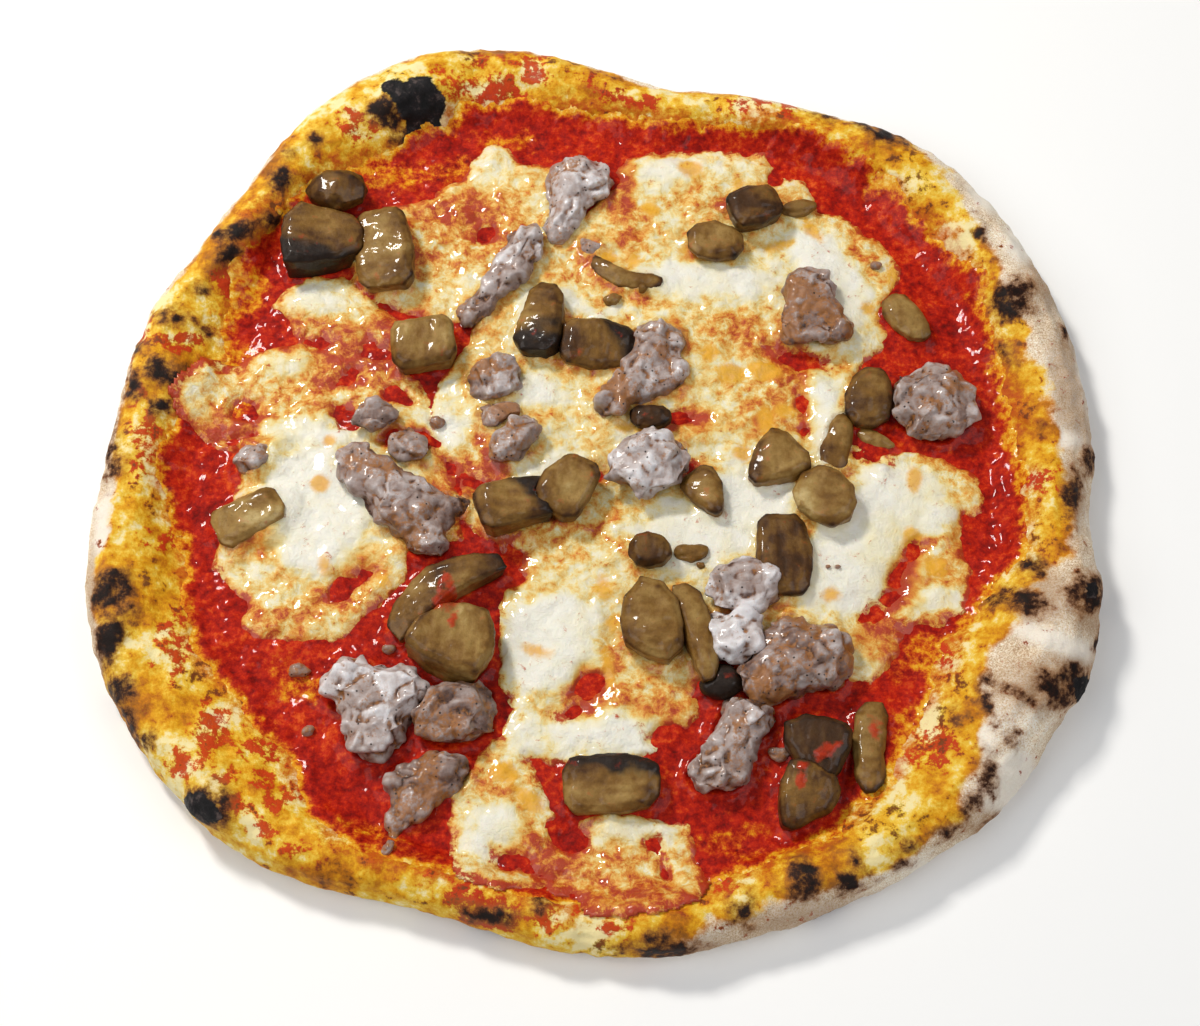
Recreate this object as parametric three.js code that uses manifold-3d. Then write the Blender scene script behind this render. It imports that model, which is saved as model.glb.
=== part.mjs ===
// A wood-fired pizza: a hand-stretched crust with a puffed rim, tomato sauce, melted mozzarella,
// chunks of sausage and cut mushrooms.
// Units are millimetres and +Z is up. The origin is the middle of the pizza on the surface it rests on,
// and angles run anticlockwise from +X, seen from above.
import * as THREE from "three";
import { mergeVertices } from "three/addons/utils/BufferGeometryUtils.js";
import { SimplexNoise } from "three/addons/math/SimplexNoise.js";
import Module from "manifold-3d";

const wasm = await Module();
wasm.setup();

const TAU = 2 * Math.PI;
const GAP = 0.3; // clear space between touching pieces

// The crust
const SECTORS = 48; // steps round the crust and the sauce
const BASE_THICKNESS = 4.5; // baked dough under the sauce
const WELL_WAVE = 0.5; // rise and fall of the stretched dough
const EDGE_HEIGHT = 6.5; // height of the rim's widest line above the floor
const SAUCE_CLIMB = 9; // how far the sauce runs up the inner slope of the rim
// Radius of the outer edge, every 10 degrees: a hand-stretched round with a notch and wide lobes
const OUTLINE = [
  157, 160, 161, 162.5, 163, 158, 152.5, 148, 144, 150, 161, 167,
  166.5, 162.5, 155.5, 152, 156.5, 154, 155.5, 160.5, 166.5, 166.5, 166, 165.5,
  159, 152, 153.5, 158, 158, 159, 160, 163.5, 165, 163.5, 164.5, 155,
];
// Radius that the sauce reaches, every 15 degrees
const SAUCE_EDGE = [
  133, 133, 139, 138, 141, 131, 132, 140, 136, 140, 138, 127,
  139, 134, 137, 134, 145, 144, 146, 141, 140, 131, 123, 134,
];
// The rim every 30 degrees: its height, and how far its crest lies inside the outer edge
const RIM_HEIGHT = [17, 18, 16, 14, 18, 16, 16, 17, 15, 13, 16, 19];
const CREST_INSET = [14, 14, 11, 9, 10, 9, 9, 9, 8, 8, 11, 15];
// Bubbles in the rim: angle in degrees, radius from the middle, width and height
const BUBBLES = [
  [115, 148, 30, 6],
  [92, 141, 24, 3],
  [161, 144, 20, 3],
  [197, 155, 30, 3],
  [224, 158, 22, 3],
  [276, 153, 26, 3],
  [294, 151, 24, 2.5],
  [332, 145, 44, 4],
  [344, 153, 20, 3],
  [22, 150, 30, 3],
  [48, 146, 26, 2.5],
];

// The sauce and the cheese
const SAUCE_THICKNESS = 1.4;
const SAUCE_LIP = 0.5; // thickness of the sauce at its edge
const CHEESE_THICKNESS = 3.8;
const CHEESE_LIP = 0.9; // thickness of the cheese at its edge
const CHEESE_SECTORS = 24;
const CHEESE_RINGS = [0.34, 0.64, 0.87, 1]; // parts of the way from a patch's middle to its edge
// Each patch of mozzarella: a middle, and the points that its edge runs through
const CHEESE = [
  {
    name: "mozzarella_upper_right",
    middle: [50, 74],
    edge: [[5, 112], [24, 117], [46, 116], [62, 108], [76, 97], [90, 86], [99, 70], [96, 50], [82, 34],
      [58, 30], [34, 33], [14, 50], [3, 68]],
  },
  {
    name: "mozzarella_upper_left",
    middle: [-48, 78],
    edge: [[-16, 102], [-24, 117], [-42, 117], [-62, 104], [-80, 94], [-78, 74], [-68, 54], [-48, 44],
      [-26, 44], [-8, 54], [-10, 80]],
  },
  {
    name: "mozzarella_left",
    middle: [-86, 0],
    edge: [[-128, 12], [-122, 28], [-106, 40], [-103, 62], [-88, 62], [-74, 42], [-58, 30], [-52, 8],
      [-54, -22], [-70, -36], [-80, -58], [-103, -60], [-112, -44], [-117, -30], [-120, -6]],
  },
  {
    name: "mozzarella_middle",
    middle: [6, -24],
    edge: [[56, 14], [44, 24], [22, 24], [2, 30], [-20, 36], [-42, 26], [-47, 2], [-40, -22], [-28, -44],
      [-30, -78], [-18, -96], [2, -99], [22, -94], [38, -78], [48, -50], [46, -26], [57, -12]],
  },
  {
    name: "mozzarella_right",
    middle: [93, -30],
    edge: [[118, -6], [100, 4], [80, 0], [64, -10], [62, -26], [72, -44], [72, -70], [84, -77], [96, -60],
      [110, -54], [115, -36], [114, -26], [121, -17]],
  },
  {
    name: "mozzarella_lower",
    middle: [-8, -124],
    edge: [[12, -118], [27, -121], [29, -136], [18, -145], [0, -147], [-12, -138], [-30, -137], [-43, -128],
      [-42, -112], [-26, -105], [-14, -108], [-6, -117]],
  },
];

// The chunks of sausage, each of one or more lumps: x, y, length, width, height, turn in degrees
const SINK = 3.2; // how deep a topping sits in the melted cheese
const LARGE_LUMP = 27; // a lump longer than this has finer faces
const FULLNESS = 1.04; // flat faces cut the corners of a round form, so its points lie a little outside it
const SAUSAGE = [
  [[-6, 102, 22, 21, 14, 60], [-12, 87, 16, 12, 11, 70]],
  [[-3, 78, 11, 9, 8, 0]],
  [[-23, 77, 15, 14, 11, 40], [-30, 66, 15, 13, 10, 60], [-39, 54, 17, 9, 8, 60]],
  [[-33, 27, 19, 17, 12, 20]],
  [[-26, 5, 19, 14, 11, 45]],
  [[-31, 14, 15, 10, 9, -20]],
  [[-71, 13, 17, 12, 10, 10]],
  [[-59, 3, 15, 12, 9, -30]],
  [[-75, -5, 18, 15, 12, -50], [-64, -17, 20, 18, 13, -40], [-54, -28, 18, 14, 12, -50],
    [-47, -17, 14, 10, 9, 0]],
  [[-108, -1, 15, 10, 9, 20]],
  [[20, 41, 18, 16, 14, 0], [21, 29, 17, 14, 12, 20], [7, 20, 20, 14, 12, 30]],
  [[16, -5, 25, 23, 15, 20]],
  [[68, 60, 17, 16, 13, 0], [64, 46, 13, 13, 12, 0], [76, 45, 14, 13, 12, 30]],
  [[107, 18, 29, 26, 16, 15]],
  [[45, -46, 25, 19, 14, 10]],
  [[41, -61, 22, 19, 13, 30]],
  [[51, -75, 20, 20, 16, 0], [66, -69, 24, 22, 18, 30], [59, -62, 18, 16, 15, 0]],
  [[-73, -77, 20, 18, 15, 20], [-59, -80, 18, 20, 15, 0], [-66, -92, 21, 16, 14, 10]],
  [[-42, -86, 26, 23, 15, 30]],
  [[-46, -104, 18, 15, 12, 0], [-57, -106, 12, 10, 9, 60], [-58, -118, 24, 7, 8, 80]],
  [[44, -87, 20, 17, 14, 20], [36, -102, 22, 16, 13, 20]],
];

// The mushroom pieces: middle, size along, across and up, turn in degrees, and the form of the cut.
// lift is how far a piece is held up by one below it, and bend curves it along its length.
const CUT_POINTS = 10; // points round a cut piece
const BEVEL = 1.8; // rounding of its edges
const CROWN = 0.5; // rise of its upper face
const FORMS = {
  cap: { power: 2, taper: 0 },
  round: { power: 2.2, taper: 0.1 },
  block: { power: 4, taper: 0.08 },
  wedge: { power: 2.6, taper: 0.55 },
  stem: { power: 3, taper: 0.18 },
};
const MUSHROOM = [
  { at: [-90, 78], size: [26, 22, 15], corners: [[-103, 66], [-101, 89], [-78, 84], [-79, 71]] },
  { at: [-87, 97], size: [20, 15, 12], turn: 0, form: "cap", lift: 5 },
  { at: [-70, 74], size: [28, 19, 12], turn: 95, form: "block" },
  { at: [-56, 39], size: [20, 18, 14], turn: 10, form: "block" },
  { at: [-18, 48], size: [27, 14, 11], turn: 80, form: "stem" },
  { at: [0, 40], size: [24, 16, 11], turn: -5, form: "block" },
  { at: [9, 66], size: [24, 7, 7], turn: -20, form: "stem", bend: 0.25 },
  { at: [39, 78], size: [19, 14, 8], turn: 0, form: "round" },
  { at: [52, 90], size: [17, 14, 12], turn: 20, form: "block" },
  { at: [101, 50], size: [20, 11, 9], turn: -50, form: "round" },
  { at: [87, 20], size: [20, 15, 11], turn: 80, form: "round" },
  { at: [76, 5], size: [21, 10, 8], turn: 75, form: "stem" },
  { at: [90, 6], size: [15, 6, 6], turn: -30, form: "stem" },
  { at: [56, -4], size: [20, 16, 11], turn: 220, form: "wedge" },
  { at: [71, -16], size: [20, 18, 11], turn: -30, form: "round" },
  { at: [57, -35], size: [27, 17, 11], turn: 90, form: "block" },
  { at: [34, -14], size: [18, 11, 8], turn: -60, form: "wedge" },
  { at: [-9, -13], size: [20, 15, 11], turn: 60, form: "block" },
  { at: [-25, -19], size: [24, 16, 12], turn: 15, form: "block" },
  { at: [16, -34], size: [13, 11, 9], turn: 0, form: "round" },
  { at: [16, -58], size: [27, 17, 12], corners: [[13, -44], [24, -50], [25, -71], [10, -67], [7, -57]] },
  { at: [30, -61], size: [33, 9, 10], turn: -75, form: "stem", bend: -0.1 },
  { at: [-47, -47], size: [40, 12, 12], turn: 35, form: "stem", bend: -0.3 },
  { at: [-44, -62], size: [30, 27, 17], corners: [[-58, -67], [-46, -54], [-31, -58], [-36, -77]] },
  { at: [4, -108], size: [28, 17, 11], turn: 3, form: "block" },
  { at: [66, -96], size: [19, 18, 13], turn: 30, form: "wedge" },
  { at: [81, -96], size: [29, 10, 9], turn: 265, form: "stem", bend: 0.1 },
  { at: [60, -112], size: [21, 15, 13], turn: 240, form: "wedge" },
  { at: [-108, -22], size: [23, 14, 8], turn: 30, form: "block" },
  { at: [17, 13], size: [13, 8, 8], turn: 0, form: "round" },
  { at: [37, -76], size: [13, 10, 9], turn: 0, form: "cap" },
];

// Colours of the baked pieces
const COLOURS = {
  crust: 0xcda978,
  sauce: 0xb8240e,
  cheese: 0xefe3bd,
  sausage: 0x9c8676,
  mushroom: 0x6e5a33,
};

// A seeded random source
function seeded(seed) {
  let state = seed;
  return function random() {
    state = (state * 1664525 + 1013904223) % 4294967296;
    return state / 4294967296;
  };
}

const random = seeded(7);
const noise = new SimplexNoise({ random: seeded(11) });

function spread(amount) {
  return amount * (2 * random() - 1);
}

// The value at an angle of a list of values that are evenly spaced round the circle
function around(values, angle) {
  const count = values.length;
  const place = THREE.MathUtils.euclideanModulo(angle / TAU, 1) * count;
  const first = Math.floor(place);
  const t = place - first;
  const [a, b, c, d] = [-1, 0, 1, 2].map((step) => values[(first + step + count) % count]);
  return b + 0.5 * t * (c - a + t * (2 * a - 5 * b + 4 * c - d + t * (3 * (b - c) + d - a)));
}

const outline = (angle) => around(OUTLINE, angle);
const crest = (angle) => outline(angle) - around(CREST_INSET, angle);
const sauceEdge = (angle) => Math.min(around(SAUCE_EDGE, angle), crest(angle) - 2);
const foot = (angle) => sauceEdge(angle) - SAUCE_CLIMB;

// Height of the dough's upper face
function crustTop(x, y) {
  const r = Math.hypot(x, y);
  const angle = Math.atan2(y, x);
  const height = around(RIM_HEIGHT, angle);
  let z = BASE_THICKNESS + WELL_WAVE * (noise.noise(x / 45, y / 45) + 0.4 * noise.noise(x / 18, y / 18));
  if (r >= crest(angle)) {
    const u = Math.min((r - crest(angle)) / (outline(angle) - crest(angle)), 1);
    z = EDGE_HEIGHT + (height - EDGE_HEIGHT) * Math.sqrt(1 - u * u);
  } else if (r > foot(angle)) {
    const u = (r - foot(angle)) / (crest(angle) - foot(angle));
    z += (height - z) * Math.sin(0.5 * Math.PI * u) ** 1.6;
  }
  for (const [degrees, radius, width, rise] of BUBBLES) {
    const bearing = THREE.MathUtils.degToRad(degrees);
    const away = Math.hypot(x - radius * Math.cos(bearing), y - radius * Math.sin(bearing));
    const inside = Math.max(0, Math.min(1, (outline(angle) - r) / 8));
    z += rise * inside * Math.max(0, 1 - (2 * away / width) ** 2);
  }
  return z;
}

function sauceThickness(x, y) {
  const angle = Math.atan2(y, x);
  const inside = Math.max(0, Math.min(1, (sauceEdge(angle) - Math.hypot(x, y)) / 14));
  return SAUCE_LIP + (SAUCE_THICKNESS - SAUCE_LIP) * inside;
}

function sauceTop(x, y) {
  return crustTop(x, y) + GAP + sauceThickness(x, y);
}

// A closed curve through a few points, as evenly spaced points
function smoothLoop(points, count) {
  const corners = points.map(([x, y]) => new THREE.Vector3(x, y, 0));
  return new THREE.CatmullRomCurve3(corners, true, "catmullrom", 0.5).getSpacedPoints(count).slice(0, count);
}

// A patch's radius about its middle, as a function of the angle
function patchRadius({ middle, edge }) {
  const [cx, cy] = middle;
  const steps = 72;
  const radii = new Array(steps).fill(0);
  const loop = smoothLoop(edge, 720);
  for (const p of loop) {
    const turn = THREE.MathUtils.euclideanModulo(Math.atan2(p.y - cy, p.x - cx) / TAU, 1);
    const step = Math.round(turn * steps) % steps;
    radii[step] = Math.max(radii[step], Math.hypot(p.x - cx, p.y - cy));
  }
  return (angle) => around(radii, angle);
}

const patches = CHEESE.map((patch) => ({ ...patch, radius: patchRadius(patch) }));

function cheeseThickness(part) {
  return CHEESE_LIP + (CHEESE_THICKNESS - CHEESE_LIP) * Math.sqrt(Math.max(0, 1 - part * part));
}

// Height of whatever lies on top at a point, before any topping
function groundTop(x, y) {
  let z = sauceTop(x, y);
  for (const { middle, radius } of patches) {
    const [dx, dy] = [x - middle[0], y - middle[1]];
    const part = Math.hypot(dx, dy) / radius(Math.atan2(dy, dx));
    if (part < 1) z = sauceTop(x, y) + cheeseThickness(part);
  }
  return z;
}

// A closed solid through rings of equally many points, from the top pole down to the bottom one.
// The upper and under faces split their quads along the same diagonal, so that stacked layers match.
function loft(top, rings, bottom) {
  const count = rings[0].length;
  const points = [top, ...rings.flat(), bottom];
  const at = (ring, k) => 1 + ring * count + (k % count);
  const reach = (ring) => Math.hypot(rings[ring][0].x - top.x, rings[ring][0].y - top.y);
  const index = [];
  for (let k = 0; k < count; k++) {
    index.push(0, at(0, k), at(0, k + 1));
    for (let ring = 0; ring < rings.length - 1; ring++) {
      const inward = reach(ring + 1) < reach(ring);
      const [near, far] = inward ? [at(ring + 1, k), at(ring, k + 1)] : [at(ring, k), at(ring + 1, k + 1)];
      index.push(near, inward ? far : at(ring + 1, k), inward ? at(ring, k) : far);
      index.push(near, inward ? at(ring + 1, k + 1) : far, inward ? far : at(ring, k + 1));
    }
    index.push(at(rings.length - 1, k + 1), at(rings.length - 1, k), points.length - 1);
  }
  const geometry = new THREE.BufferGeometry().setFromPoints(points);
  geometry.setIndex(index);
  return geometry;
}

// A closed solid of rings round a middle. Each ring gives its radius and height at an angle.
function ringSolid([cx, cy], sectors, topHeight, rings, bottomHeight) {
  const circles = rings.map((ring) => {
    const points = [];
    for (let k = 0; k < sectors; k++) {
      const angle = (k / sectors) * TAU;
      const [r, z] = ring(angle);
      points.push(new THREE.Vector3(cx + r * Math.cos(angle), cy + r * Math.sin(angle), z));
    }
    return points;
  });
  return loft(new THREE.Vector3(cx, cy, topHeight), circles, new THREE.Vector3(cx, cy, bottomHeight));
}

// A ring that follows a height function at a radius that depends on the angle
function ringOn([cx, cy], radius, height) {
  return (angle) => {
    const r = radius(angle);
    return [r, height(cx + r * Math.cos(angle), cy + r * Math.sin(angle))];
  };
}

const MIDDLE = [0, 0];
const WELL_PARTS = [0.52, 1]; // rings of the flat middle, as parts of the foot's radius
const wellRadii = [
  ...WELL_PARTS.map((part) => (angle) => part * foot(angle)),
  (angle) => foot(angle) + 0.55 * SAUCE_CLIMB,
  sauceEdge,
];

// The radius that lies some part of the way from one radius to another
function between(inner, outer, part) {
  return (angle) => inner(angle) + part * (outer(angle) - inner(angle));
}

function crustGeometry() {
  const outer = [0.5, 1].map((part) => between(sauceEdge, crest, part));
  const side = [0.45, 0.8, 1].map((part) => between(crest, outline, part));
  const top = [...wellRadii, ...outer, ...side].map((radius) => ringOn(MIDDLE, radius, crustTop));
  // The edge turns under to the flat base: inset from the outline and height
  const turns = [[0.7, 3.4], [3, 1.1], [8, 0]];
  const underside = turns.map(([inset, z]) => (angle) => [outline(angle) - inset, z]);
  const base = (angle) => [0.5 * outline(angle), 0];
  return ringSolid(MIDDLE, SECTORS, crustTop(0, 0), [...top, ...underside, base], 0);
}

function sauceGeometry() {
  const under = (x, y) => crustTop(x, y) + GAP;
  const top = wellRadii.map((radius) => ringOn(MIDDLE, radius, sauceTop));
  const bottom = wellRadii.map((radius) => ringOn(MIDDLE, radius, under)).reverse();
  return ringSolid(MIDDLE, SECTORS, sauceTop(0, 0), [...top, ...bottom], under(0, 0));
}

// A patch's domed top, on an underside that the sauce then cuts to shape. The patch may be grown a little.
function cheeseGeometry({ middle, radius }, growth = 0) {
  const rings = CHEESE_RINGS.map((part) => {
    const height = (x, y) => sauceTop(x, y) + cheeseThickness(part) + growth;
    return ringOn(middle, (angle) => part * (radius(angle) + growth), height);
  });
  const edge = (angle) => radius(angle) + growth;
  const under = ringOn(middle, edge, (x, y) => sauceTop(x, y) - 1.5);
  const [cx, cy] = middle;
  const ridge = sauceTop(cx, cy) + CHEESE_THICKNESS + growth;
  return ringSolid(middle, CHEESE_SECTORS, ridge, [...rings, under], sauceTop(cx, cy) - 2);
}

// A lumpy chunk, flattened underneath
function lumpGeometry([x, y, length, width, height, turn], detail, roughness, z) {
  const geometry = new THREE.IcosahedronGeometry(1, detail);
  geometry.deleteAttribute("normal");
  geometry.deleteAttribute("uv");
  const lump = mergeVertices(geometry);
  const point = new THREE.Vector3();
  const position = lump.getAttribute("position");
  for (let i = 0; i < position.count; i++) {
    point.fromBufferAttribute(position, i);
    const bump = noise.noise3d(1.4 * point.x + x, 1.4 * point.y + y, 1.4 * point.z);
    point.multiplyScalar(1 + roughness * bump);
    point.z = Math.max(point.z, -0.7);
    position.setXYZ(i, point.x, point.y, point.z);
  }
  lump.scale(0.5 * FULLNESS * length, 0.5 * FULLNESS * width, 0.5 * height);
  lump.rotateX(spread(0.12));
  lump.rotateZ(THREE.MathUtils.degToRad(turn));
  lump.translate(x, y, z);
  return lump;
}

// The outline of a cut of mushroom: a rounded shape that may taper and bend, or one with given corners
function cutOutline({ at, size, turn = 0, form, bend = 0, corners }) {
  if (corners) {
    const loop = smoothLoop(corners, CUT_POINTS).map((p) => new THREE.Vector2(p.x - at[0], p.y - at[1]));
    return THREE.ShapeUtils.isClockWise(loop) ? loop.reverse() : loop;
  }
  const { power, taper } = FORMS[form];
  const [length, width] = size;
  const sharpen = (v) => Math.sign(v) * Math.abs(v) ** (2 / power);
  const points = [];
  for (let k = 0; k < CUT_POINTS; k++) {
    const angle = ((k + 0.5) / CUT_POINTS) * TAU;
    const u = sharpen(Math.cos(angle));
    const v = sharpen(Math.sin(angle)) * (1 - taper * u) * (1 + 0.12 * noise.noise(at[0] + k, at[1]));
    const point = new THREE.Vector2(0.5 * length * u, 0.5 * width * v + 0.5 * bend * length * (u * u - 0.4));
    point.multiplyScalar(FULLNESS);
    points.push(point.rotateAround(new THREE.Vector2(), THREE.MathUtils.degToRad(turn)));
  }
  return points;
}

function cutGeometry(piece) {
  const [, width, height] = piece.size;
  const outlinePoints = cutOutline(piece);
  const trimmed = Math.max(0.5, 1 - (2 * BEVEL) / width);
  // The rings' size beside the outline, and their height from the middle
  const levels = [
    [trimmed, 0.5 * height],
    [1, 0.5 * height - BEVEL],
    [0.9, -0.5 * height],
  ];
  const ringAt = ([part, z]) => outlinePoints.map((p) => new THREE.Vector3(part * p.x, part * p.y, z));
  const rings = levels.map(ringAt);
  const crown = new THREE.Vector3(0, 0, 0.5 * height + CROWN);
  const geometry = loft(crown, rings, new THREE.Vector3(0, 0, -0.5 * height));
  geometry.rotateX(spread(0.14));
  geometry.rotateY(spread(0.14));
  const [x, y] = piece.at;
  geometry.translate(x, y, groundTop(x, y) + 0.5 * height - SINK + (piece.lift ?? 0));
  return geometry;
}

function solidOf(geometry) {
  const merged = mergeVertices(geometry);
  const mesh = { numProp: 3, vertProperties: merged.attributes.position.array };
  return new wasm.Manifold(new wasm.Mesh({ ...mesh, triVerts: new Uint32Array(merged.index.array) }));
}

function geometryOf(solid) {
  const { vertProperties, triVerts } = solid.getMesh();
  const geometry = new THREE.BufferGeometry();
  geometry.setAttribute("position", new THREE.BufferAttribute(vertProperties, 3));
  geometry.setIndex(new THREE.BufferAttribute(triVerts, 1));
  return geometry;
}

// A chunk made larger all round by the narrow gap, for cutting what touches it
function grown(solid) {
  const { min, max } = solid.boundingBox();
  const middle = [0, 1, 2].map((axis) => 0.5 * (min[axis] + max[axis]));
  const factors = [0, 1, 2].map((axis) => 1 + (2 * GAP) / (max[axis] - min[axis]));
  return solid.translate(middle.map((v) => -v)).scale(factors).translate(middle);
}

// The crust and the sauce with the gap above them, down to below the floor
function groundSolid() {
  const overSauce = (x, y) => sauceTop(x, y) + GAP;
  const overCrust = (x, y) => crustTop(x, y) + GAP;
  const lip = (angle) => sauceEdge(angle) + GAP;
  const inner = [...wellRadii, lip].map((radius) => ringOn(MIDDLE, radius, overSauce));
  const rim = [0.5, 1].map((part) => between(lip, crest, part));
  const outer = rim.map((radius) => ringOn(MIDDLE, radius, overCrust));
  const skirt = [(angle) => [outline(angle), EDGE_HEIGHT], (angle) => [outline(angle), -SINK]];
  return solidOf(ringSolid(MIDDLE, SECTORS, overSauce(0, 0), [...inner, ...outer, ...skirt], -SINK));
}

function largestBody(solid) {
  return solid.decompose().sort((a, b) => b.volume() - a.volume())[0];
}

const pizza = new THREE.Group();

function addPiece(name, solid, colour, roughness) {
  const material = new THREE.MeshStandardMaterial({ color: colour, roughness, metalness: 0 });
  const mesh = new THREE.Mesh(geometryOf(solid), material);
  mesh.name = name;
  pizza.add(mesh);
}

const crust = solidOf(crustGeometry());
const sauce = solidOf(sauceGeometry());
addPiece("crust", crust, COLOURS.crust, 0.75);
addPiece("tomato_sauce", sauce, COLOURS.sauce, 0.35);

// What is already in place, with the gap that the next piece keeps to it
const laid = [groundSolid()];

function overlaps(a, b) {
  const [boxA, boxB] = [a.boundingBox(), b.boundingBox()];
  return [0, 1, 2].every((axis) => boxA.min[axis] < boxB.max[axis] && boxB.min[axis] < boxA.max[axis]);
}

function layPiece(name, solid, colour, roughness, cutter) {
  const neighbours = laid.filter((other) => overlaps(solid, other));
  const placed = largestBody(neighbours.reduce((left, other) => left.subtract(other), solid));
  addPiece(name, placed, colour, roughness);
  laid.push(cutter ?? grown(placed));
}

for (const patch of patches) {
  const cutter = solidOf(cheeseGeometry(patch, GAP));
  layPiece(patch.name, solidOf(cheeseGeometry(patch)), COLOURS.cheese, 0.4, cutter);
}

MUSHROOM.forEach((piece, i) => {
  const [length, width, height] = piece.size;
  const [x, y] = piece.at;
  const z = groundTop(x, y) + 0.5 * height - SINK + (piece.lift ?? 0);
  const dome = () => lumpGeometry([x, y, length, width, height, piece.turn ?? 0], 1, 0.12, z);
  const geometry = piece.form === "cap" ? dome() : cutGeometry(piece);
  layPiece(`mushroom_${String(i + 1).padStart(2, "0")}`, solidOf(geometry), COLOURS.mushroom, 0.45);
});

SAUSAGE.forEach((lumps, i) => {
  const solids = lumps.map((lump) => {
    const [x, y, length, , height] = lump;
    const z = groundTop(x, y) + 0.5 * height - SINK;
    return solidOf(lumpGeometry(lump, length > LARGE_LUMP ? 2 : 1, 0.22, z));
  });
  const chunk = solids.reduce((whole, lump) => whole.add(lump));
  layPiece(`sausage_${String(i + 1).padStart(2, "0")}`, chunk, COLOURS.sausage, 0.5);
});

// The box of the whole is centred on the origin
const box = new THREE.Box3().setFromObject(pizza);
const shift = box.getCenter(new THREE.Vector3());
pizza.children.forEach((mesh) => mesh.geometry.translate(-shift.x, -shift.y, 0));

export default pizza;
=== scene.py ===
import math

import bmesh
import bpy
import numpy as np
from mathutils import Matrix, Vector
from mathutils.bvhtree import BVHTree


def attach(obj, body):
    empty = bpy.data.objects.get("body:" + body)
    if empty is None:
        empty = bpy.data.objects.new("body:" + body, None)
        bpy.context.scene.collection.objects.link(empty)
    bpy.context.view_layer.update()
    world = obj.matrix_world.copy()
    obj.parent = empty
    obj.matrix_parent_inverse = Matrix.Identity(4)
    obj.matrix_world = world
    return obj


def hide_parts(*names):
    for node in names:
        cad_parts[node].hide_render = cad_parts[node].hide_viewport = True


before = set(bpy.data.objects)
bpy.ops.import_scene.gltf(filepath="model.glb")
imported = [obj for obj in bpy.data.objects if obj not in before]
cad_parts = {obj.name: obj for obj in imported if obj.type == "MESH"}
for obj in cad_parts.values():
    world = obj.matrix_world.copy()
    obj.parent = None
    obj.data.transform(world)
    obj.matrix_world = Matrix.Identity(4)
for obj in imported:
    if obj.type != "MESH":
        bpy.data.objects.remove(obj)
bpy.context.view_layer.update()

MM = 0.001  # one millimetre in metres
TAU = 2 * math.pi

# Blender works in metres. Places on the pizza are given in millimetres from its middle, x to the
# right and y away from the viewer, and angles run anticlockwise from +X.

# The view
LENS = 59.4
SENSOR = 36.0
VIEW_DISTANCE = 620
VIEW_ELEVATION = math.radians(65)
VIEW_TARGET = (0.96, -18.98, 6.0)
READ_HEIGHT = 9  # places were read off the picture as if they lay at this height
WORLD_STRENGTH = 0.21

# Steps of the fine meshes
ROUND_STEPS = 840
SHEET_STEP = 0.85
CHUNK_STEP = 0.6
RADIUS_STEP = 0.5
SAUCE_STEPS = 48

# The sauce and the cheese
SAUCE_LEVEL = 1.7  # thickness of the sauce away from its edge
RIM_MARGIN = 11  # the sauce stops this far inside the crust's outer edge
SHEET_FLOOR = 2.5  # height that a sheet's border is let down to
SAUCE_BOUNDS = (-152, -152), (152, 152)
CHEESE_BOUNDS = (-138, -150), (124, 122)
GAP_LIMIT = 6.0  # toppings farther off than this don't count as near


# ---- numbers over points

def noise(points, size, seed=0):
    """Smooth noise from -1 to 1 at points in mm, in lumps of about that size."""
    table = np.random.default_rng(seed).uniform(-1, 1, (32, 32, 32))
    place = points / size
    cell = np.floor(place).astype(int)
    t = place - cell
    t = t * t * (3 - 2 * t)
    value = np.zeros(len(points))
    for corner in np.ndindex(2, 2, 2):
        weight = np.prod(np.where(corner, t, 1 - t), axis=1)
        i, j, k = ((cell + corner) % 32).T
        value += weight * table[i, j, k]
    return value


def rough(points, size, seed=0, octaves=3, fade=0.5):
    """Noise with finer noise added, each octave half the size."""
    value = np.zeros(len(points))
    for octave in range(octaves):
        value += fade ** octave * noise(points, size / 2 ** octave, seed + octave)
    return value


def lumps(points, size, seed=0):
    """Packed lumps of about that size in mm: the depth inside the lump that each point is in,
    and that lump's own number from 0 to 1."""
    table = np.random.default_rng(seed).uniform(0, 1, (16, 16, 16, 4))
    place = points / size
    cell = np.floor(place).astype(int)
    first = np.full(len(points), 9.0)
    second = first.copy()
    own = np.zeros(len(points))
    for step in np.ndindex(3, 3, 3):
        near = cell + step - 1
        found = table[tuple((near % 16).T)]
        gap = np.linalg.norm(place - near - found[:, :3], axis=1)
        closer = gap < first
        second = np.where(closer, first, np.minimum(second, gap))
        own = np.where(closer, found[:, 3], own)
        first = np.minimum(first, gap)
    return 0.5 * (second - first) * size, own


def smooth(low, high, value):
    t = np.clip((value - low) / (high - low), 0, 1)
    return t * t * (3 - 2 * t)


def flat(points):
    """The points with their height taken out."""
    return points * (1, 1, 0)


def polar(points):
    return np.hypot(points[:, 0], points[:, 1]), np.arctan2(points[:, 1], points[:, 0])


def seen(points):
    """The points moved to where the picture shows them at the height that places were read at."""
    shift = (points[:, 2] - READ_HEIGHT) / math.tan(VIEW_ELEVATION)
    return np.stack([points[:, 0], points[:, 1] + shift, 0 * shift], axis=1)


def around(values, angle):
    """A list of values spaced evenly round the circle, read at each angle."""
    values = np.asarray(values, float)
    place = (angle / TAU % 1) * len(values)
    first = np.floor(place).astype(int)
    t = place - first
    a, b, c, d = (values[(first + step) % len(values)] for step in (-1, 0, 1, 2))
    return b + 0.5 * t * (c - a + t * (2 * a - 5 * b + 4 * c - d + t * (3 * (b - c) + d - a)))


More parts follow.
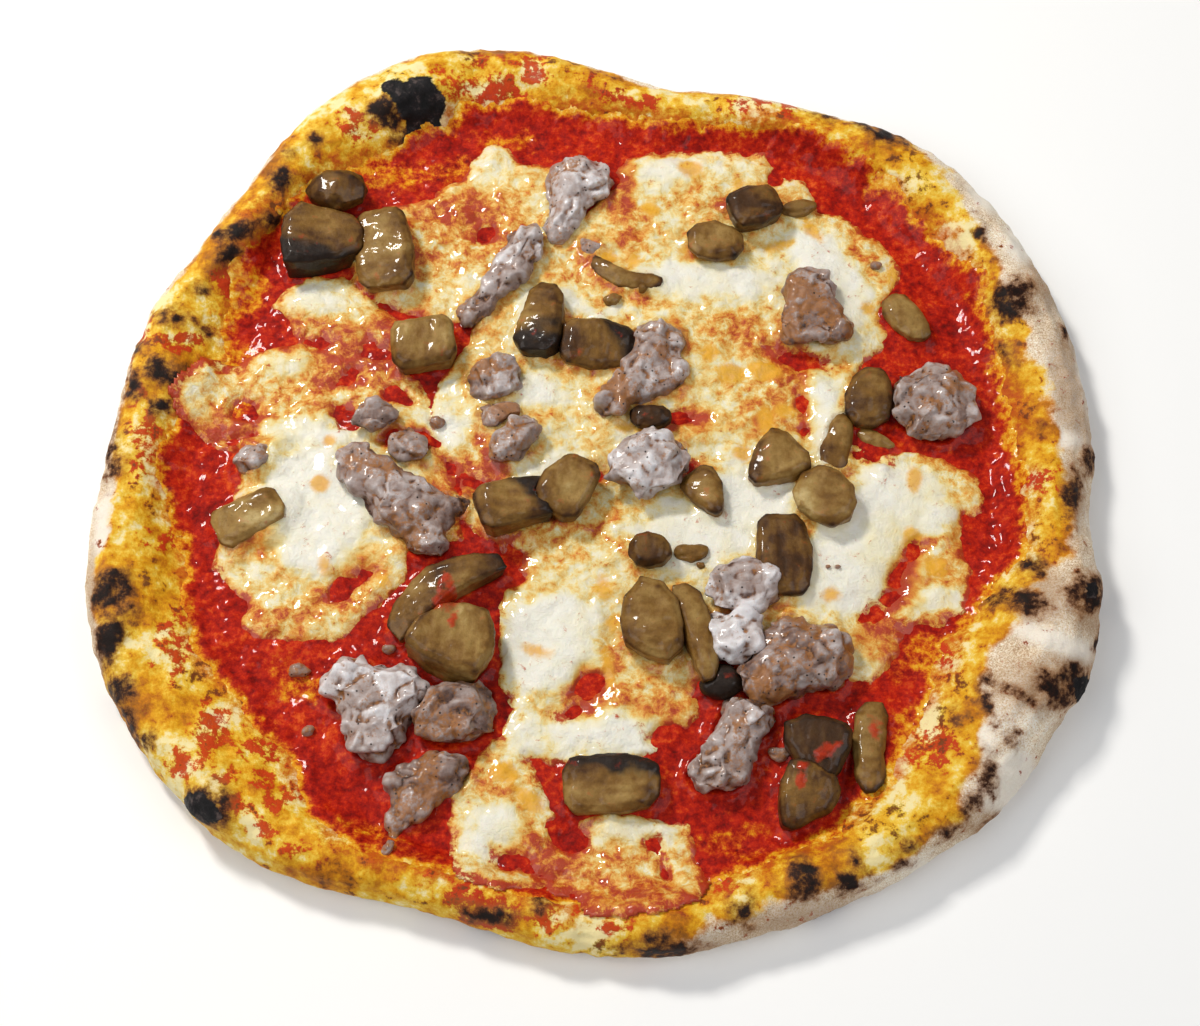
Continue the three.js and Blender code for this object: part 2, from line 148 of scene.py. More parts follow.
def spots(points, marks, ragged=0.0, seed=0):
    """Depth in mm inside the nearest of some ovals: x, y, length, width and turn in degrees."""
    x, y = points[:, 0], points[:, 1]
    wobble = ragged * rough(flat(points), 5.0, seed) if ragged else 0.0
    depth = np.full(len(points), -99.0)
    for cx, cy, length, width, turn in marks:
        c, s = math.cos(math.radians(turn)), math.sin(math.radians(turn))
        u = ((x - cx) * c + (y - cy) * s) / (0.5 * length)
        v = ((y - cy) * c - (x - cx) * s) / (0.5 * width)
        depth = np.maximum(depth, (1 - np.hypot(u, v)) * 0.5 * min(length, width))
    return depth + wobble


def inside_loop(points, loop):
    """Depth in mm inside a closed outline, negative outside it."""
    p = points[:, :2]
    a = np.asarray(loop, float)
    b = np.roll(a, -1, axis=0)
    nearest = np.full(len(p), 1e9)
    crossings = np.zeros(len(p), int)
    for (ax, ay), (bx, by) in zip(a, b):
        along = np.array((bx - ax, by - ay))
        t = np.clip(((p - (ax, ay)) @ along) / (along @ along), 0, 1)
        nearest = np.minimum(nearest, np.hypot(*(p - (ax, ay) - t[:, None] * along).T))
        straddles = (p[:, 1] < ay) != (p[:, 1] < by)
        with np.errstate(divide="ignore", invalid="ignore"):
            cut = ax + (p[:, 1] - ay) / (by - ay if by != ay else 1e-9) * (bx - ax)
        crossings += straddles & (p[:, 0] < cut)
    return np.where(crossings % 2 == 1, nearest, -nearest)


# ---- where things lie, as read off

# Outer limit of the oil-soaked yellow dough, every 10 degrees. Beyond it the rim is dry and floury.
FAR = 175  # past the rim, which is oiled all the way out
OIL_REACH = [
    145, 143, 144, 148.5, 156, 162, FAR, FAR, FAR, FAR, FAR, FAR,
    FAR, FAR, FAR, FAR, FAR, 166, 151, 152, 160, 170, FAR, FAR,
    FAR, FAR, FAR, FAR, 154, 151, 156, 158, 146, 135, 138, 149,
]
# Where oil has run down over the side, in degrees
DRIP_START, DRIP_END, DRIP_FADE = 200, 284, 8

# Melted cheese: the outlines of the sheets, and the gaps in them where sauce shows
CHEESE_SHEETS = [
    [(6, 108), (11, 114), (19, 117), (30, 116), (40, 117.5), (50, 116), (58, 113), (63, 107), (70, 103),
     (73.5, 98), (75, 93), (82, 91.5), (88, 87), (94, 81), (98, 75), (99.5, 67), (97, 60), (94, 55), (93, 49),
     (95, 44), (91, 38), (86, 33), (84, 20), (79, 8), (88, 0), (97, 3), (106, 1), (112, -2), (119, -7),
     (121, -13), (120, -18), (115, -21), (112.5, -27), (112, -32), (114.5, -38), (114, -46), (111, -52),
     (105, -56), (98, -58), (93, -57), (90, -62), (91, -67), (87, -72), (82, -75.5), (74, -76), (60, -66),
     (46, -60), (34, -72), (30, -78), (31, -86), (27, -90), (21, -94), (17, -98), (8, -100), (-8, -101),
     (-20, -100), (-12, -116), (-6, -119), (4, -116), (14, -118), (24, -119), (28, -126), (30, -136),
     (27, -143), (19, -146), (10, -147), (0, -146), (-6, -141), (-14, -137), (-22, -139), (-31, -137),
     (-38, -135), (-43, -129), (-41, -120), (-42, -111), (-37, -103), (-32, -95), (-28, -88), (-26, -80),
     (-31, -72), (-29, -60), (-31, -48), (-22, -42), (-30, -32), (-36, -28), (-42, -22), (-42, -12),
     (-46, -2), (-52, 2), (-56, 14), (-52, 24), (-46, 36), (-42, 47), (-50, 49), (-60, 52), (-72, 57),
     (-80, 64), (-83, 74), (-80, 86), (-73, 93), (-62, 97), (-52, 101), (-44, 104), (-42, 112), (-37, 118.5),
     (-31, 119), (-27, 113), (-20, 112), (-14, 112), (-10, 100), (-4, 92)],
    [(-134, 20), (-131, 12), (-124, 6), (-114, 2), (-112, -6), (-115, -18), (-118, -28), (-117, -38),
     (-112, -45), (-107, -51), (-108, -58), (-104, -61), (-95, -62), (-88, -63.5), (-79, -62), (-73, -58),
     (-66, -50), (-59, -41), (-57, -33), (-50, -30), (-42, -28), (-44, -10), (-50, 4), (-52, 20),
     (-60, 30), (-58, 46), (-72, 56), (-84, 66), (-96, 67), (-103, 62), (-105, 56), (-101, 50),
     (-98, 42), (-108, 40), (-116, 32), (-126, 32)],
]
SAUCE_GAPS = [
    (-8, -122, 10, 14, 20), (-3, -78, 9, 11, -30), (-8, -85, 12, 6, 30), (-27, -35, 8, 14, -10),
    (93, -41, 5, 22, -30), (85, -54, 9, 7, 20), (-76, -44, 14, 6, 35), (-39, -9, 12, 5, -15),
    (-53, -38, 9, 6, 20), (-33, -48, 8, 10, 0), (-80, 15, 6, 10, 40), (-38, 84, 7, 7, 0),
    (5, 105, 6, 12, 0), (66, 9, 3, 6, 0), (66, 18, 3, 10, 0), (20, -92, 10, 5, 20), (66, 35, 18, 6, -10),
    (28, 14, 10, 5, 10), (-72, 38, 14, 6, -20), (-60, 6, 16, 6, 0), (29, -4, 6, 6, 0), (-2, -5, 8, 5, -40),
    (-80, 29, 10, 5, 30), (-90, 41, 14, 5, -20), (-64, 22, 8, 5, -30), (60, 105, 5, 4, 0),
    (-113, 17, 8, 7, 0), (-118, 6, 16, 5, 10), (95, -64, 8, 8, 0), (18, -130, 4, 16, 20),
    (-18, -134, 16, 3, -20), (-25, -131, 10, 5, 0), (88, 0, 14, 5, -15), (-50, -20, 4, 10, 0),
]

# Orange oil stains and peach-coloured thin places in the cheese, from strong to faint
OIL_POOLS = [
    (-87, -10, 6, 6, 0), (-85, 5, 4, 4, 0), (54, 31, 11, 8, 0), (43, 30, 10, 8, 0), (89, 54, 6, 5, 0),
    (18, 93, 6, 5, 0), (32, 109, 8, 7, 0), (28, 76, 4, 3, 0), (72, 84, 4, 9, 30), (60, 78, 12, 3, 20),
    (-84, -39, 4, 6, 0), (46, 1, 6, 6, 0), (5, -57, 5, 6, 0), (3, -70, 3, 14, 10), (36, 37, 6, 5, 0),
    (105, -38, 7, 8, 30), (100, -8, 4, 8, -10), (-27, -104, 8, 8, 0), (-20, -112, 12, 6, -40),
    (72, -48, 5, 4, 0), (-32, 16, 5, 3, 0), (54, 12, 5, 12, 0), (10, 10, 6, 4, 0), (60, 16, 7, 5, 0),
    (-65, -43, 5, 4, 0), (-18, -66, 8, 3, -10), (2, -45, 5, 8, 0), (98, -29, 6, 8, 0), (4, 74, 6, 4, 0),
    (98, 66, 5, 12, 0), (48, 103, 5, 5, 0), (12, 72, 3, 8, -30),
]
STAINS = [
    (-48, 82, 60, 34, 10), (-92, 26, 70, 26, 5), (-96, 46, 30, 30, 0), (-66, 40, 20, 30, 0),
    (46, 96, 50, 12, -5), (12, 86, 14, 40, 10), (86, 76, 12, 34, 40), (50, 46, 44, 18, 0),
    (56, 20, 30, 26, 0), (-10, -26, 44, 12, 0), (4, -22, 30, 10, 0), (-22, -36, 30, 10, 10),
    (-70, -50, 50, 12, -10), (-96, -54, 24, 18, 0), (-2, -70, 20, 20, 0), (12, -80, 30, 12, 0),
    (0, -128, 70, 24, 0), (10, -140, 36, 12, 0), (-26, -108, 26, 16, -30), (96, -40, 34, 50, 0),
    (104, -8, 26, 20, 0), (60, -48, 20, 8, 0), (-40, -4, 20, 26, 0), (-48, -24, 14, 14, 0),
    (-110, 6, 34, 24, 0), (20, 58, 50, 16, 5), (-6, 70, 20, 16, 0), (-18, -10, 30, 8, 20),
]
WHITE = [
    (-88, -18, 34, 46, 15), (96, -16, 34, 26, 0), (84, -34, 36, 40, 0), (-14, -62, 30, 32, 0),
    (0, -92, 44, 12, 3), (48, -16, 30, 24, 0), (78, 66, 18, 40, 20), (72, 18, 10, 40, 0),
    (30, -28, 40, 22, 0), (-94, 56, 18, 12, 0), (-98, 34, 14, 9, 0), (-16, 56, 18, 10, 0),
    (8, 51, 24, 6, 0), (-90, 8, 34, 12, 0), (-48, 10, 14, 14, 0), (20, 107, 22, 10, 0),
    (-8, -114, 16, 8, -20), (8, -122, 22, 10, 0), (-30, -120, 16, 14, 0), (100, -50, 20, 9, 0),
    (-12, -4, 26, 7, 15), (64, -44, 16, 16, 0), (36, 64, 50, 14, 0), (-20, 24, 14, 10, 0),
]

# On the rim: char, dark bakes and smears of sauce
CHAR = [
    (-60.5, 134, 18, 19, 0), (-60, 126, 13, 13, 20), (-70, 140, 9, 7, 20), (-66, 137, 9, 8, 10),
    (-115, -113, 10, 10, 20), (-110, -115, 7, 6, 0), (143, -78, 9, 9, 0), (148, -46, 4, 4, 0),
]
TOAST = [
    (-147, -46, 13, 12, 0), (-142, -54, 9, 6, 0), (-146, -62, 9, 20, -5), (-141, -78, 10, 12, 10),
    (-137, -90, 6, 12, 20), (-132, -94, 5, 6, 0), (-151, -4, 8, 10, 0), (-139, 28, 11, 10, 20),
    (-148, 24, 7, 11, -20), (-138, 17, 8, 8, 0), (-135, 48, 9, 6, -10), (-128, 45, 5, 3, -40),
    (-148, 38, 5, 4, 0), (20, -155, 20, 9, 5), (41, -144, 7, 8, 0), (-16, -142, 6, 6, 0),
    (59, -135, 11, 10, 0), (72, -136, 10, 7, 10), (73, -130, 6, 3, -60), (89, -126, 6, 3, 0),
    (90, 124, 9, 4, -20), (99, 119, 11, 6, -25), (78, 128, 5, 2, 0), (127, 80, 4, 9, 15),
    (135, 55, 14, 14, 20), (151, 42, 5, 6, 0), (131, 37, 6, 8, 30), (155, -2, 6, 10, 0),
    (147, -16, 5, 14, -5), (147, -47, 14, 13, 0), (129, -51, 13, 8, 0), (120, -76, 7, 4, -20),
    (115, -83, 4, 9, 20), (121, -93, 5, 6, 0), (113, -103, 5, 9, 0), (108, -112, 6, 8, -20),
    (137, -77, 24, 15, 10), (119, -121, 18, 9, -10), (131, -38, 8, 7, 0), (122, -50, 8, 5, 20),
    (-122, 72, 10, 7, 40), (-119, 81, 9, 5, 30), (-106, 102, 9, 8, 0), (-103, 113, 4, 4, 0),
    (-108, 86, 8, 5, -20), (-72, 130, 14, 12, 30), (-62, 122, 12, 6, 0), (-112, -114, 13, 15, 20),
    (-95, 118, 6, 5, 0), (100, -122, 10, 4, 40), (87, -131, 6, 4, 20), (-152, 6, 4, 16, 0),
    (153, -66, 8, 16, 0), (-44, 156, 8, 3, 0), (-128, 60, 5, 5, 0), (-30, -146, 10, 3, -10),
    (106, -84, 4, 5, 0),
]
RIM_SAUCE = [
    (-35, 139, 24, 12, 0), (-23, 151, 9, 6, 0), (-38, 152, 7, 5, 0), (-21, 145, 7, 6, 0),
    (-50, 146, 12, 4, 20), (-82, 124, 15, 12, -20), (5, 137, 9, 5, 5), (17, 136, 7, 6, -30),
    (48, 133, 6, 6, 0), (56, 134, 5, 4, 0), (66, 131, 4, 4, 0), (0, 143, 5, 4, 0), (-6, 143, 5, 3, 0),
    (-112, 68, 26, 17, 30), (-147, 42, 7, 12, -10), (-133, 41, 12, 8, 30), (-142, 10, 7, 12, 0),
    (-142, -2, 5, 9, 0), (-141, -8, 6, 5, 0), (-145, 22, 3, 8, -30), (-115, -92, 11, 15, 0),
    (-98, -106, 8, 7, 0), (-106, -113, 11, 8, 10), (-108, -105, 5, 6, 0), (-92, -112, 9, 6, 30),
    (-130, -60, 5, 6, 0), (-126, -67, 9, 12, -40), (-128, -56, 5, 3, 0), (-134, -31, 7, 5, 0),
    (-130, -28, 4, 3, 0), (-100, -97, 14, 8, -30), (-86, -128, 9, 6, -10), (-96, -120, 7, 5, 0),
    (86, 112, 8, 8, 0), (138, -9, 7, 6, 0), (92, 104, 6, 6, 0), (-120, -100, 6, 8, 0),
    (-32, -143, 26, 12, -25), (-16, -146, 12, 5, 10), (38, -128, 12, 16, 0), (4, -149, 10, 4, 0),
    (100, -93, 9, 8, 0), (97, -100, 8, 6, 0), (104, -70, 6, 8, 0), (-104, -60, 6, 4, 0),
    (122, -6, 12, 6, 0),
]

# Swells and hollows of the rim, each with its height in mm
RIM_SWELLS = [
    ((-63, 136, 24, 18, 0), 1.6), ((135, -63, 26, 6, -25), 1.3), ((-146, -50, 16, 26, 0), 1.2),
    ((-140, 32, 16, 14, 0), 1.2), ((-138, 46, 12, 10, 0), 0.9), ((-112, -113, 14, 12, 0), 1.0),
    ((144, -78, 16, 14, 0), 0.8), ((150, -46, 12, 14, 0), 0.8), ((20, -150, 26, 12, 0), 0.9),
    ((60, -134, 14, 10, 0), 0.8), ((-120, 78, 24, 14, 40), 0.9), ((100, 118, 24, 8, -25), 0.8),
    ((144, 4, 16, 5, -30), -1.0), ((-3, -152, 4, 12, 0), -1.2), ((135, -38, 6, 6, 0), -1.5),
    ((-150, -25, 10, 12, 0), -0.8), ((110, -104, 10, 16, 0), -0.7),
]

# On the dry rim: soft brown shading round the bakes, and ridges white with flour
FLOUR_SHADE = [
    (136, -75, 30, 16, 15), (127, -47, 26, 16, 0), (152, 22, 14, 40, 0), (118, -121, 22, 8, -10),
    (141, -98, 8, 20, 0), (-150, -38, 6, 26, 0), (152, -50, 20, 20, 0), (148, -14, 8, 22, -10),
    (60, -147, 30, 8, 5), (146, 62, 12, 18, 20), (20, -156, 30, 8, 0), (155, 5, 8, 18, 0),
]
FLOUR_BLOOM = [
    (135, -62, 28, 6, -22), (122, -104, 14, 14, 0), (118, -112, 16, 9, -20), (143, 6, 16, 5, -10),
    (-151, -24, 6, 22, 0), (140, 78, 10, 14, 0), (158, 30, 5, 26, 0), (112, -84, 6, 30, 5),
    (137, -30, 8, 10, 0), (100, -136, 24, 6, -20), (130, 95, 14, 8, -40),
]

# Sauce thinned to orange by oil
OILY_SAUCE = [
    (100, -68, 20, 18, 0), (96, -92, 16, 24, 0), (-120, 30, 22, 34, 0), (-92, -74, 24, 14, -20),
    (-60, 108, 60, 14, 5), (40, -124, 24, 10, 0), (-110, -96, 30, 24, 0), (-118, 60, 24, 20, 30),
    (-34, 122, 30, 10, 0), (-60, -126, 24, 8, -20),
]

# Places where cheese and sauce have mixed
RED_MIX = [
    (-78, 36, 36, 16, -10), (-62, 48, 22, 10, 0), (-40, -6, 22, 12, 0), (-118, 10, 20, 18, 0),
    (66, 30, 14, 14, 0), (28, 12, 16, 8, 0), (-2, -80, 16, 20, 0), (96, -42, 10, 28, -20),
    (88, -62, 22, 16, 0), (18, -88, 20, 10, 0), (-30, -36, 10, 18, 0), (8, 100, 12, 28, 0),
    (-44, 94, 26, 14, 20), (-70, 100, 30, 10, 0), (32, -128, 10, 16, 0), (-16, -130, 16, 14, 0),
    (0, -142, 50, 8, 0), (66, 14, 6, 24, 0), (-74, -36, 12, 16, 0), (-60, 6, 18, 10, 0),
    (30, -6, 10, 8, 0), (-4, -6, 12, 6, -30), (-102, -30, 16, 12, 0), (-92, 44, 26, 10, 0),
]

# Sauce splashed over mushrooms
SPLASHES = [
    (-46, -52, 6, 15, 8), (-43, -61, 3, 6, 0), (68, -100, 7, 3, 30), (59, -109, 3, 6, 0),
    (82, -92, 3, 8, 0),
]

# Pieces sunk in the cheese, which stands higher round them
SUNK = [
    (-106, -22, 26, 18, 25), (-72, 75, 22, 28, 0), (-108, 0, 18, 14, 0), (71, -16, 20, 18, 0),
    (90, 6, 8, 18, 0),
]

# Small scraps beside the main pieces: x, y, length, width and turn
MUSHROOM_SCRAPS = [
    (67, 92, 12, 6, 10), (29, -34, 10, 6, 0), (32, -38, 3, 2, 0), (5, 57, 6, 4, 20),
    (15, 60, 3, 3, 0), (54, -78, 5, 3, 40), (62, -28, 6, 3, 0),
]
SAUSAGE_SCRAPS = [
    (-86, -91, 4, 3, 30), (-63, -65, 4, 3, 0), (54, -98, 7, 4, 0), (71, -39, 1.6, 1.2, 0),
    (74, -39, 1.8, 1.2, 0), (-42, 52, 10, 6, 30),
    (-60, -128, 5, 3, 60), (-90, -72, 6, 4, 0), (30, -62, 6, 4, 0), (92, 70, 4, 3, 0), (-51, 12, 5, 4, 0),
]

# How each mushroom looks: the side that its dark skin is on, how dark that is, and how pale the flesh
MUSHROOM_LOOKS = {
    1: (-0.3, -1.0, 0.85, 0.36), 2: (0.0, 0.3, 0.95, 0.34), 3: (0.0, 0.0, 0.0, 0.5),
    4: (0.2, -1.0, 0.3, 0.55), 5: (0.2, -1.0, 1.0, 0.5), 6: (1.0, 0.6, 0.9, 0.42), 7: (0.0, 0.0, 0.0, 0.6),
    9: (-0.6, 0.6, 0.6, 0.4), 10: (0.5, -0.5, 0.5, 0.55), 11: (0.6, -0.4, 0.5, 0.4),
    13: (0.0, 0.0, 0.0, 0.85), 15: (0.0, 0.0, 0.0, 0.7), 16: (-0.3, 0.4, 0.6, 0.4),
    18: (-1.0, 0.0, 0.3, 0.6), 19: (1.0, 0.8, 0.8, 0.45), 20: (0.0, 0.0, 0.25, 0.4),
    21: (-0.5, -0.8, 0.2, 0.5), 22: (0.8, 0.0, 0.4, 0.5), 23: (0.8, 0.2, 0.4, 0.45),
    24: (-1.0, 0.4, 0.3, 0.6), 25: (0.2, 1.0, 1.0, 0.5), 26: (0.0, 0.0, 0.4, 0.3),
    27: (0.0, 0.0, 0.0, 0.55), 28: (0.2, 0.6, 0.8, 0.35), 29: (0.0, 0.0, 0.0, 0.7),
    30: (0.0, 0.0, 0.3, 0.3), 31: (0.0, 0.0, 0.9, 0.3),
}
# How pale and how browned each sausage piece is
SAUSAGE_LOOKS = {
    1: (0.68, 0.2), 2: (0.55, 0.25), 3: (0.62, 0.15), 4: (0.5, 0.4), 5: (0.5, 0.35), 6: (0.5, 0.75),
    7: (0.4, 0.4), 8: (0.45, 0.3), 9: (0.5, 0.3), 11: (0.55, 0.55), 12: (0.74, 0.12), 13: (0.42, 0.6),
    14: (0.5, 0.45), 15: (0.65, 0.2), 16: (0.78, 0.12), 17: (0.45, 0.65), 18: (0.68, 0.15), 19: (0.4, 0.35),
    20: (0.42, 0.4), 21: (0.5, 0.35),
}

LAMPS = [
    ("key", (-0.55, 0.62, 0.9), 0.2, 10.5, "#FFFBF4"),
    ("left", (-0.9, -0.35, 1.1), 1.0, 6.5, "#FFFFFF"),
    ("right", (0.9, -0.3, 1.1), 1.0, 5.5, "#F6F9FF"),
]


# ---- making meshes

def vectors_of(mesh, kind):
    raw = np.empty(3 * len(mesh.vertices), np.float32)
    mesh.vertices.foreach_get(kind, raw)
    return raw.reshape(-1, 3).astype(float)


def points_of(mesh):
    """A mesh's points in millimetres."""
    return vectors_of(mesh, "co") / MM


def set_points(mesh, points):
    mesh.vertices.foreach_set("co", (points * MM).astype(np.float32).ravel())
    mesh.update()


def set_marks(mesh, **marks):
    """Stores values from 0 to 1 on the points, for the materials to read."""
    for name, values in marks.items():
        layer = mesh.attributes.new(name, "FLOAT", "POINT")
        layer.data.foreach_set("value", np.clip(values, 0, 1).astype(np.float32))


def mesh_of(form, name):
    """Turns a bmesh into a mesh of that name."""
    mesh = bpy.data.meshes.new(name)
    form.to_mesh(mesh)
    form.free()
    return mesh


def shown(name, data):
    """A new object with that data, linked to the scene."""
    thing = bpy.data.objects.new(name, data)
    bpy.context.scene.collection.objects.link(thing)
    return thing


def applied(draft):
    """The mesh of a draft with its modifiers applied. The draft itself is removed."""
    raw = draft.data
    depsgraph = bpy.context.evaluated_depsgraph_get()
    mesh = bpy.data.meshes.new_from_object(draft.evaluated_get(depsgraph))
    bpy.data.objects.remove(draft)
    bpy.data.meshes.remove(raw)
    return mesh


def place(name, mesh, material, slot, *nodes):
    """Shows a mesh as a piece of the pizza, in place of its CAD nodes."""
    mesh.materials.clear()
    mesh.materials.append(material)
    mesh.polygons.foreach_set("use_smooth", [True] * len(mesh.polygons))
    piece = shown(name, mesh)
    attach(piece, "root")
    if nodes:
        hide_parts(*nodes)
    return piece


def merged(node):
    """A bmesh copy of a CAD node with its loose triangles joined."""
    form = bmesh.new()
    form.from_mesh(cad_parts[node].data)
    bmesh.ops.remove_doubles(form, verts=form.verts, dist=0.01 * MM)
    return form


def tree_of(node):
    form = merged(node)
    tree = BVHTree.FromBMesh(form)
    form.free()
    return tree


CRUST_TREE = tree_of("crust")


def crust_hit(x, y, z, dx, dy, dz):
    """Where a ray in millimetres meets the crust, or None."""
    hit = CRUST_TREE.ray_cast(Vector((x, y, z)) * MM, Vector((dx, dy, dz)))[0]
    return None if hit is None else hit / MM


def smooth_round(values, width):
    """Smooths rows of values round the pizza by a bell of that many steps."""
    reach = np.arange(-3 * width, 3 * width + 1)
    bell = np.exp(-0.5 * (reach / width) ** 2)
    bell /= bell.sum()
    return sum(w * np.roll(values, int(s), axis=0) for s, w in zip(reach, bell))


# ---- the crust's surface

WELL_RADII = np.concatenate([np.linspace(4, 96, 8), np.linspace(104, 118, 4)])
RIM_TOP_STEPS = 56  # from the well up to the widest line
TURN_STEPS = 16  # the last of these, fanned out from a core inside the rim
CORE_INSET = 9.0
CORE_HEIGHT = 6.0
OUTSIDE, ABOVE = 220, 80  # where the rays that find the crust start
SIDE_STEPS = 14  # round the side to the underside
UNDER_RADII = np.linspace(146, 8, 18)


def crust_section(angle):
    """The crust's section at an angle: radius and height from the middle over the rim to the underside."""
    c, s = math.cos(angle), math.sin(angle)
    edge = crust_hit(OUTSIDE * c, OUTSIDE * s, CORE_HEIGHT, -c, -s, 0)
    reach = math.hypot(edge.x, edge.y)
    core = reach - CORE_INSET
    section = []
    for r in (*WELL_RADII, *np.linspace(WELL_RADII[-1] + 1, core, RIM_TOP_STEPS - TURN_STEPS)):
        section.append((r, crust_hit(r * c, r * s, ABOVE, 0, 0, -1).z))
    for turn in np.radians((*np.linspace(86, 0, TURN_STEPS), *np.linspace(-8, -88, SIDE_STEPS))):
        out, up = math.cos(turn), math.sin(turn)
        hit = crust_hit(core * c, core * s, CORE_HEIGHT, out * c, out * s, up)
        section.append((math.hypot(hit.x, hit.y), hit.z))
    for r in UNDER_RADII:
        section.append((min(r, core - 2), 0.0))
    return section


def crust_sections():
    """Sections all round, smoothed over the flat faces of the CAD crust."""
    angles = np.arange(ROUND_STEPS) / ROUND_STEPS * TAU
    sections = np.array([crust_section(a) for a in angles])
    return angles, smooth_round(sections, 7)


ANGLES, SECTIONS = crust_sections()
OUTER = SECTIONS[:, :, 0].max(axis=1)
TOP_COUNT = len(WELL_RADII) + RIM_TOP_STEPS

# Height of the crust's upper side: a row for each angle, a column for each radius
RADII = np.arange(0, 176, RADIUS_STEP)
HEIGHTS = np.array([np.interp(RADII, row[:TOP_COUNT, 0], row[:TOP_COUNT, 1], right=0) for row in SECTIONS])


def dough_lift(points):
    """How far the rim's blisters and swells stand out from its smooth section."""
    r, angle = polar(points)
    q = seen(points)
    lift = 0.8 * rough(points, 14, 44) + 0.4 * rough(points, 5, 45) + 0.15 * rough(points, 2, 46)
    lift += 0.8 * smooth(-1, 3, spots(q, CHAR, 1.2, 41)) * np.abs(noise(points, 3.5, 47))
    lift += 0.6 * smooth(-3, 3, spots(q, TOAST, 1.8, 42))
    for swell, amount in RIM_SWELLS:
        lift += amount * smooth(-3, 3, spots(q, [swell]))
    return lift * smooth(-14, 0, r - around(SAUCE_REACH, angle)) * smooth(0.5, 5, points[:, 2])


def dough_height(points):
    """Height of the crust at points, by its section at their angle."""
    r, angle = polar(points)
    turn = (angle / TAU % 1) * ROUND_STEPS
    first = np.floor(turn).astype(int) % ROUND_STEPS
    after = (first + 1) % ROUND_STEPS
    t = turn - np.floor(turn)
    r = np.clip(r / RADIUS_STEP, 0, len(RADII) - 2)
    low = np.floor(r).astype(int)
    u = r - low
    here = HEIGHTS[first, low] * (1 - u) + HEIGHTS[first, low + 1] * u
    there = HEIGHTS[after, low] * (1 - u) + HEIGHTS[after, low + 1] * u
    height = here * (1 - t) + there * t
    return height + dough_lift(np.stack([points[:, 0], points[:, 1], height], axis=1))


def sauce_radius():
    """The sauce's reach round the pizza, from its CAD node's outermost points."""
    form = merged("tomato_sauce")
    p = np.array([v.co[:] for v in form.verts]) / MM
    form.free()
    angle = np.arctan2(p[:, 1], p[:, 0]) % TAU
    r = np.hypot(p[:, 0], p[:, 1])
    turns = np.arange(SAUCE_STEPS) / SAUCE_STEPS * TAU
    return [r[np.abs((angle - a + math.pi) % TAU - math.pi) < TAU / 90].max() for a in turns]


SAUCE_REACH = sauce_radius()


def sauce_depth(points):
    """Depth in mm inside the sauce's ragged edge, which keeps clear of the crust's outer edge."""
    r, angle = polar(points)
    edge = around(SAUCE_REACH, angle) - r
    edge += 2.4 * rough(flat(points), 9.0, 21) + 1.0 * rough(flat(points), 3.0, 22)
    return np.minimum(edge, np.interp(angle % TAU, ANGLES, OUTER, period=TAU) - RIM_MARGIN - r)


def cheese_depth(points):
    """Depth in mm inside the cheese's edge, with its gaps."""
    depth = np.max([inside_loop(points, loop) for loop in CHEESE_SHEETS], axis=0)
    depth += 1.3 * rough(flat(points), 7.0, 31) + 0.5 * rough(flat(points), 2.5, 32)
    gaps = spots(points, SAUCE_GAPS, 1.6, 33)
    return np.minimum(depth, -gaps + 0.4)


# ---- colours and materials

def linear(text):
    """An sRGB hex colour as linear RGBA."""
    parts = [int(text[i:i + 2], 16) / 255 for i in (1, 3, 5)]
    return (*(c / 12.92 if c <= 0.04045 else ((c + 0.055) / 1.055) ** 2.4 for c in parts), 1.0)


def add(tree, kind, links=None, stops=(), **settings):
    """Adds a node. links gives its inputs values, hex colours or the nodes that feed them, and
    stops gives a ramp its colours."""
    node = tree.nodes.new("ShaderNode" + kind)
    for name, value in settings.items():
        setattr(node, name, value)
    for name, value in (links or {}).items():
        socket = node.inputs[name]
        if isinstance(value, bpy.types.Node):
            value = next(output for output in value.outputs if output.enabled)
        if isinstance(value, bpy.types.NodeSocket):
            tree.links.new(value, socket)
        else:
            socket.default_value = linear(value) if isinstance(value, str) else value
    for index, (position, colour) in enumerate(stops):
        ramp = node.color_ramp.elements
        stop = ramp[index] if index < len(ramp) else ramp.new(position)
        stop.position, stop.color = position, linear(colour)
    return node


def new_material(name):
    """A material without nodes but its place in the piece's own frame, in metres."""
    material = bpy.data.materials.new(name)
    material.use_nodes = True
    tree = material.node_tree
    tree.nodes.clear()
    return material, tree, add(tree, "TexCoord").outputs["Object"]


def layered(tree, base, layers):
    """Lays colours over a base, each with its own mask."""
    for mask, colour in layers:
        base = add(tree, "Mix", {0: mask, 6: base, 7: colour}, data_type="RGBA")
    return base


def broken(tree, name, texture, amount):
    """A stored mark with a texture's ups and downs added to it."""
    mark = add(tree, "Attribute", attribute_name=name).outputs["Fac"]
    shifted = add(tree, "Math", {0: texture, 1: 0.5}, operation="SUBTRACT")
    return add(tree, "Math", {0: shifted, 1: amount, 2: mark}, operation="MULTIPLY_ADD")


def worn(tree, name, texture, amount, soft=0.12, middle=0.5, most=1.0):
    """A stored mark cut to a ragged edge by a texture, where the mark passes the middle value."""
    span = {"Value": broken(tree, name, texture, amount),
            "From Min": middle - soft, "From Max": middle + soft, "To Max": most}
    return add(tree, "MapRange", span, interpolation_type="SMOOTHSTEP")


def finish(tree, settings, heights):
    """Ends a material with its surface, and bumps given as a height node and a depth in mm."""
    normal = None
    for height, depth in heights:
        links = {"Height": height, "Distance": depth * MM, "Strength": 1.0}
        if normal is not None:
            links["Normal"] = normal
        normal = add(tree, "Bump", links)
    surface = add(tree, "BsdfPrincipled", {**settings, "Normal": normal})
    add(tree, "OutputMaterial", {"Surface": surface.outputs["BSDF"]})


